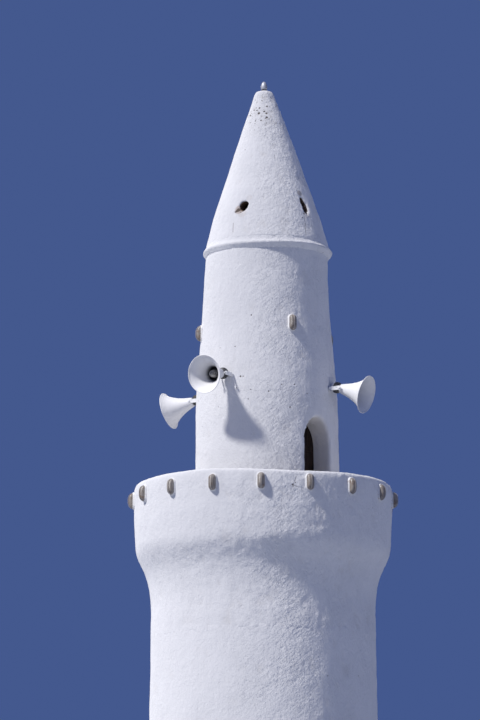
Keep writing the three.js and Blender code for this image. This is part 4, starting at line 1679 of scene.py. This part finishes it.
def set_round(name, fitting, finish, row):
    """A mesh of one fitting at each azimuth of a row on a round wall."""
    axis = Vector((row.centre, 0, row.level))
    points = [axis + direction_of(azimuth) * row.radius for azimuth in row.azimuths]
    carrier = new_object(name, mesh_of(name, points, []))
    values = {"Fitting": fitting, "Axis_X": row.centre, "Lean": LAMP_LEAN, "Seed": row.seed}
    return grown_by(carrier, wall_fittings, Material=finish, **values)


for name, row in LAMP_ROWS.items():
    glasses = set_round(f"{name}_glasses", glass, glass_material, row)
    dressed(glasses, "tower", "lamp_glass", *nodes_named(name))
    bodies = set_round(f"{name}_bodies", lamp_body, paint_material, row)
    dressed(bodies, "tower", "lamp_guard")
    print(name, len(row.azimuths), "faces", len(glasses.data.polygons) + len(bodies.data.polygons))
discard(glass, lamp_body)

# %% [markdown]
# ## Horn loudspeakers
#
# Four horns look out to all sides. A horn is a turned shape: a flared bell with a rolled lip, and inside it
# a stem that carries a cup, from which the sound is turned back out of the throat. The black driver screws
# on behind. Bell and driver tilt together between the arms of a strap bracket, on two pins with fluted
# knobs, so they ride on the horn's own body, and the bracket stays with the tower.

# %% Places of the horns
HORN_PIVOT_RADIUS = 1.065
Horn = namedtuple("Horn", "azimuth level tilt")
# tilt is how far each horn looks down, in degrees
HORNS = {
    "horn_a": Horn(-114, 9.808, 15),
    "horn_b": Horn(-34, 9.920, 11),
    "horn_c": Horn(65, 9.805, 17),
    "horn_d": Horn(155, 9.850, 15),
}

# %% Bell and driver outlines: radius, and distance in front of the pivot
BELL_OUTSIDE = [
    (0.056, -0.020), (0.068, 0.022), (0.092, 0.110), (0.128, 0.200), (0.167, 0.270), (0.208, 0.320),
    (0.238, 0.344),
]
BELL_WALL = 0.004
LIP_CENTRE = (0.2395, 0.3475)
LIP_ROUND = 0.0048
CUP_OUTLINE = [
    (0.022, 0.030), (0.021, 0.090), (0.024, 0.140), (0.040, 0.136), (0.047, 0.098), (0.0495, 0.094),
    (0.0505, 0.105), (0.049, 0.135), (0.043, 0.165), (0.031, 0.190), (0.014, 0.2035),
]
bell_curve = smooth_curve(BELL_OUTSIDE, 0.012)
lip = [
    (LIP_CENTRE[0] + LIP_ROUND * math.cos(a), LIP_CENTRE[1] + LIP_ROUND * math.sin(a))
    for a in np.linspace(-0.35 * math.pi, 1.05 * math.pi, 10)
]
bell_inside = [(r - BELL_WALL, ahead + 0.001) for r, ahead in reversed(bell_curve) if 0.03 < ahead < 0.335]
bell_outline = [(0, -0.020), *bell_curve[:-1], *lip, *bell_inside]
bell_outline += [*smooth_curve(CUP_OUTLINE, 0.008), (0, 0.206)]
DRIVER_OUTLINE = [
    (0.0, -0.112), (0.054, -0.112), (0.061, -0.110), (0.066, -0.104), (0.070, -0.098),
    (0.070, -0.088), (0.0735, -0.086), (0.0735, -0.078), (0.070, -0.076), (0.070, -0.070),
    (0.0735, -0.068), (0.0735, -0.060), (0.070, -0.058), (0.070, -0.048), (0.066, -0.042),
    (0.056, -0.036), (0.052, -0.030), (0.052, -0.0205), (0.0, -0.0205),
]
SCREW_OUTLINE = [(0, -0.1145), (0.0045, -0.1145), (0.0055, -0.113), (0.0055, -0.110), (0, -0.110)]
print("bell outline", len(bell_outline), "points")

# %% Where a horn looks, and how deep its mouth is


def horn_frame(azimuth, level, tilt):
    """Takes a shape turned about Z to its pivot, where it looks out at an azimuth and down by a tilt."""
    pivot = Vector((SHAFT_CENTRE, 0, level)) + direction_of(azimuth) * HORN_PIVOT_RADIUS
    looking = Matrix.Rotation(math.radians(azimuth), 4, "Z") @ Matrix.Rotation(math.radians(tilt), 4, "X")
    return Matrix.Translation(pivot) @ looking @ Matrix.Rotation(math.radians(90), 4, "X")


MOUTH_DEPTH = 0.33
CUP_REACH = 0.053
# how far in front of the pivot the throat's painted shade reaches, and how softly it fades
THROAT_SHADE_REACH = 0.165
THROAT_FADE = 0.05


def deep_inside(mesh):
    """Notes how deep each point lies in the mouth, for its dust and painted shade, and which points are
    throat, painted near black as shade, and which are cup.
    """
    x, y, ahead = points_of(mesh).T
    radius = np.hypot(x, y)
    radii, distances = zip(*BELL_OUTSIDE)
    wall = np.interp(ahead, distances, radii)
    inside = (radius < wall - 0.002) & (ahead > 0)
    note(mesh, "deep", np.where(inside, np.clip(1 - ahead / MOUTH_DEPTH, 0, 1), 0.0))
    note(mesh, "cup", np.where(inside & (radius < CUP_REACH), 1.0, 0.0))
    note(mesh, "throat", np.where(inside, np.clip((THROAT_SHADE_REACH - ahead) / THROAT_FADE, 0, 1), 0.0))


# %% Pivot knobs
FLUTE_DEPTH = 0.09


def rod(name, radius, start, end, sides, flutes):
    """A round or fluted rod along X."""
    sections = []
    bevel = min(0.002, radius * 0.2)
    for along, inset in ((start, bevel), (start + bevel, 0), (end - bevel, 0), (end, bevel)):
        ring = []
        for k in range(sides):
            angle = 2 * math.pi * k / sides
            size = (radius - inset) * (1 - (FLUTE_DEPTH if flutes and math.cos(flutes * angle) < 0 else 0))
            ring.append((along, size * math.cos(angle), size * math.sin(angle)))
        sections.append(ring)
    return lofted_object(name, sections, smooth=False)


# radius, start and end along the pivot's line, sides and flutes
KNOB_PARTS = {
    "pin": (0.005, 0.050, 0.108, 16, 0),
    "washer": (0.011, 0.0972, 0.0992, 24, 0),
    "knob": (0.015, 0.0992, 0.112, 48, 8),
}


def pivot_knobs(name):
    """Two pins in the bell's neck, each with a washer and a fluted knob beyond the bracket's arm."""
    things = []
    for side in (-1, 1):
        for part, (radius, start, end, sides, flutes) in KNOB_PARTS.items():
            low, high = sorted((side * start, side * end))
            things.append(rod(f"{part} {side}", radius, low, high, sides, flutes))
    return joined(name, things)


# %% Driver
DRIVER_SCREWS = 4
SCREW_CIRCLE = 0.045


def horn_driver(name):
    """The driver: a turned housing with cooling rings, and four screws on its back."""
    things = [turned_object("housing", DRIVER_OUTLINE, sides=56)]
    for k in range(DRIVER_SCREWS):
        screw = turned_object("screw", SCREW_OUTLINE, sides=12)
        azimuth = 360 * (k + 0.5) / DRIVER_SCREWS
        screw.data.transform(Matrix.Translation(direction_of(azimuth) * SCREW_CIRCLE))
        things.append(screw)
    return joined(name, things)


# %% Sizes of a bracket: a strap bent round the driver, a wall pad and two bolts
STRAP_WIDTH = 0.050
STRAP_THICKNESS = 0.005
STRAP_EDGE = 0.0012
ARM_SPREAD = 0.0945
BEND = 0.018
ARM_TIP = HORN_PIVOT_RADIUS + 0.025
PAD_RADIUS = 0.028
PAD_SUNK = 0.030
PAD_FACE = 0.006
BOLT_PLACES = (-0.045, 0.045)
WASHER_RADIUS = 0.013
WASHER_SUNK = 0.02
WASHER_FACE = 0.0045
BOLT_RADIUS = 0.0095
BOLT_HEAD = 0.011
DISC_EDGE = 0.0015
print("bracket arms", 2 * ARM_SPREAD, "m apart")

# %% Strap of a bracket


def bracket_strap(name, back):
    """The bent strap: its middle line seen from above, then its width, which rounds off at both tips."""
    bend = [
        (ARM_SPREAD - BEND + BEND * math.cos(a), back + BEND - BEND * math.sin(a))
        for a in np.linspace(0, math.pi / 2, 7)
    ]
    arm = [(ARM_SPREAD, d) for d in np.linspace(ARM_TIP, ARM_TIP - STRAP_WIDTH / 2, 9)]
    arm += [(ARM_SPREAD, d) for d in np.linspace(ARM_TIP - STRAP_WIDTH / 2, back + BEND, 4)[1:-1]]
    right = arm + bend
    line = np.array(right + [(-x, d) for x, d in reversed(right)])
    from_tip = ARM_TIP - line[:, 1]
    half = STRAP_WIDTH / 2
    tall = np.where(from_tip < half, np.sqrt(np.maximum(half**2 - (half - from_tip) ** 2, 0.003**2)), half)
    sections = []
    for (x, d), (sx, sd), h in zip(line, sideways_of(line) * STRAP_THICKNESS / 2, tall):
        inner, outer = (x - sx, -d + sd), (x + sx, -d - sd)
        sections.append([(*inner, -h), (*outer, -h), (*outer, h), (*inner, h)])
    return bevelled(lofted_object(name, sections, smooth=False), STRAP_EDGE)


# %% Pad, bolts and the whole bracket


def wall_disc(name, radius, near, far, across, sides):
    """A disc or nut on the wall, its axis pointing outwards and its far edge slanted."""
    outline = [(0, near), (radius, near), (radius, far - DISC_EDGE), (radius - DISC_EDGE, far), (0, far)]
    disc = turned_object(name, outline, sides)
    disc.data.transform(Matrix.Translation((across, 0, 0)) @ Matrix.Rotation(math.radians(90), 4, "X"))
    return disc


def horn_bracket(name, azimuth, level):
    """The strap, the pad that it stands on, and its two bolts with their washers."""
    wall = radius_on(SHAFT_PROFILE, level)
    back = wall + PAD_FACE + STRAP_THICKNESS / 2
    things = [bracket_strap("strap", back)]
    things.append(wall_disc("pad", PAD_RADIUS, wall - PAD_SUNK, back, across=0, sides=40))
    for across in BOLT_PLACES:
        washer_face = back + WASHER_FACE
        things.append(wall_disc("washer", WASHER_RADIUS, wall - WASHER_SUNK, washer_face, across, sides=28))
        things.append(wall_disc("bolt", BOLT_RADIUS, back, back + BOLT_HEAD, across, sides=6))
    bracket = joined(name, things)
    bracket.data.transform(facing(azimuth, SHAFT_CENTRE) @ Matrix.Translation((0, 0, level)))
    return coated(bracket, galvanised_material)


# %% The four horns
for name, horn in HORNS.items():
    bell = turned_object(f"{name}_horn", bell_outline, sides=72)
    deep_inside(bell.data)
    knobs = pivot_knobs(f"{name}_pivot_knobs")
    driver = horn_driver(f"{name}_drive_unit")
    for piece, finish in ((bell, enamel_material), (knobs, galvanised_material), (driver, driver_material)):
        coated(piece, finish).data.transform(horn_frame(*horn))
    bracket = horn_bracket(f"{name}_strap", horn.azimuth, horn.level)
    dressed(bell, name, "horn_white", f"{name}_bell")
    dressed(knobs, name, "bracket_steel")
    dressed(driver, name, "driver_black", f"{name}_driver")
    dressed(bracket, "tower", "bracket_steel", f"{name}_bracket")
print("horns", list(HORNS))
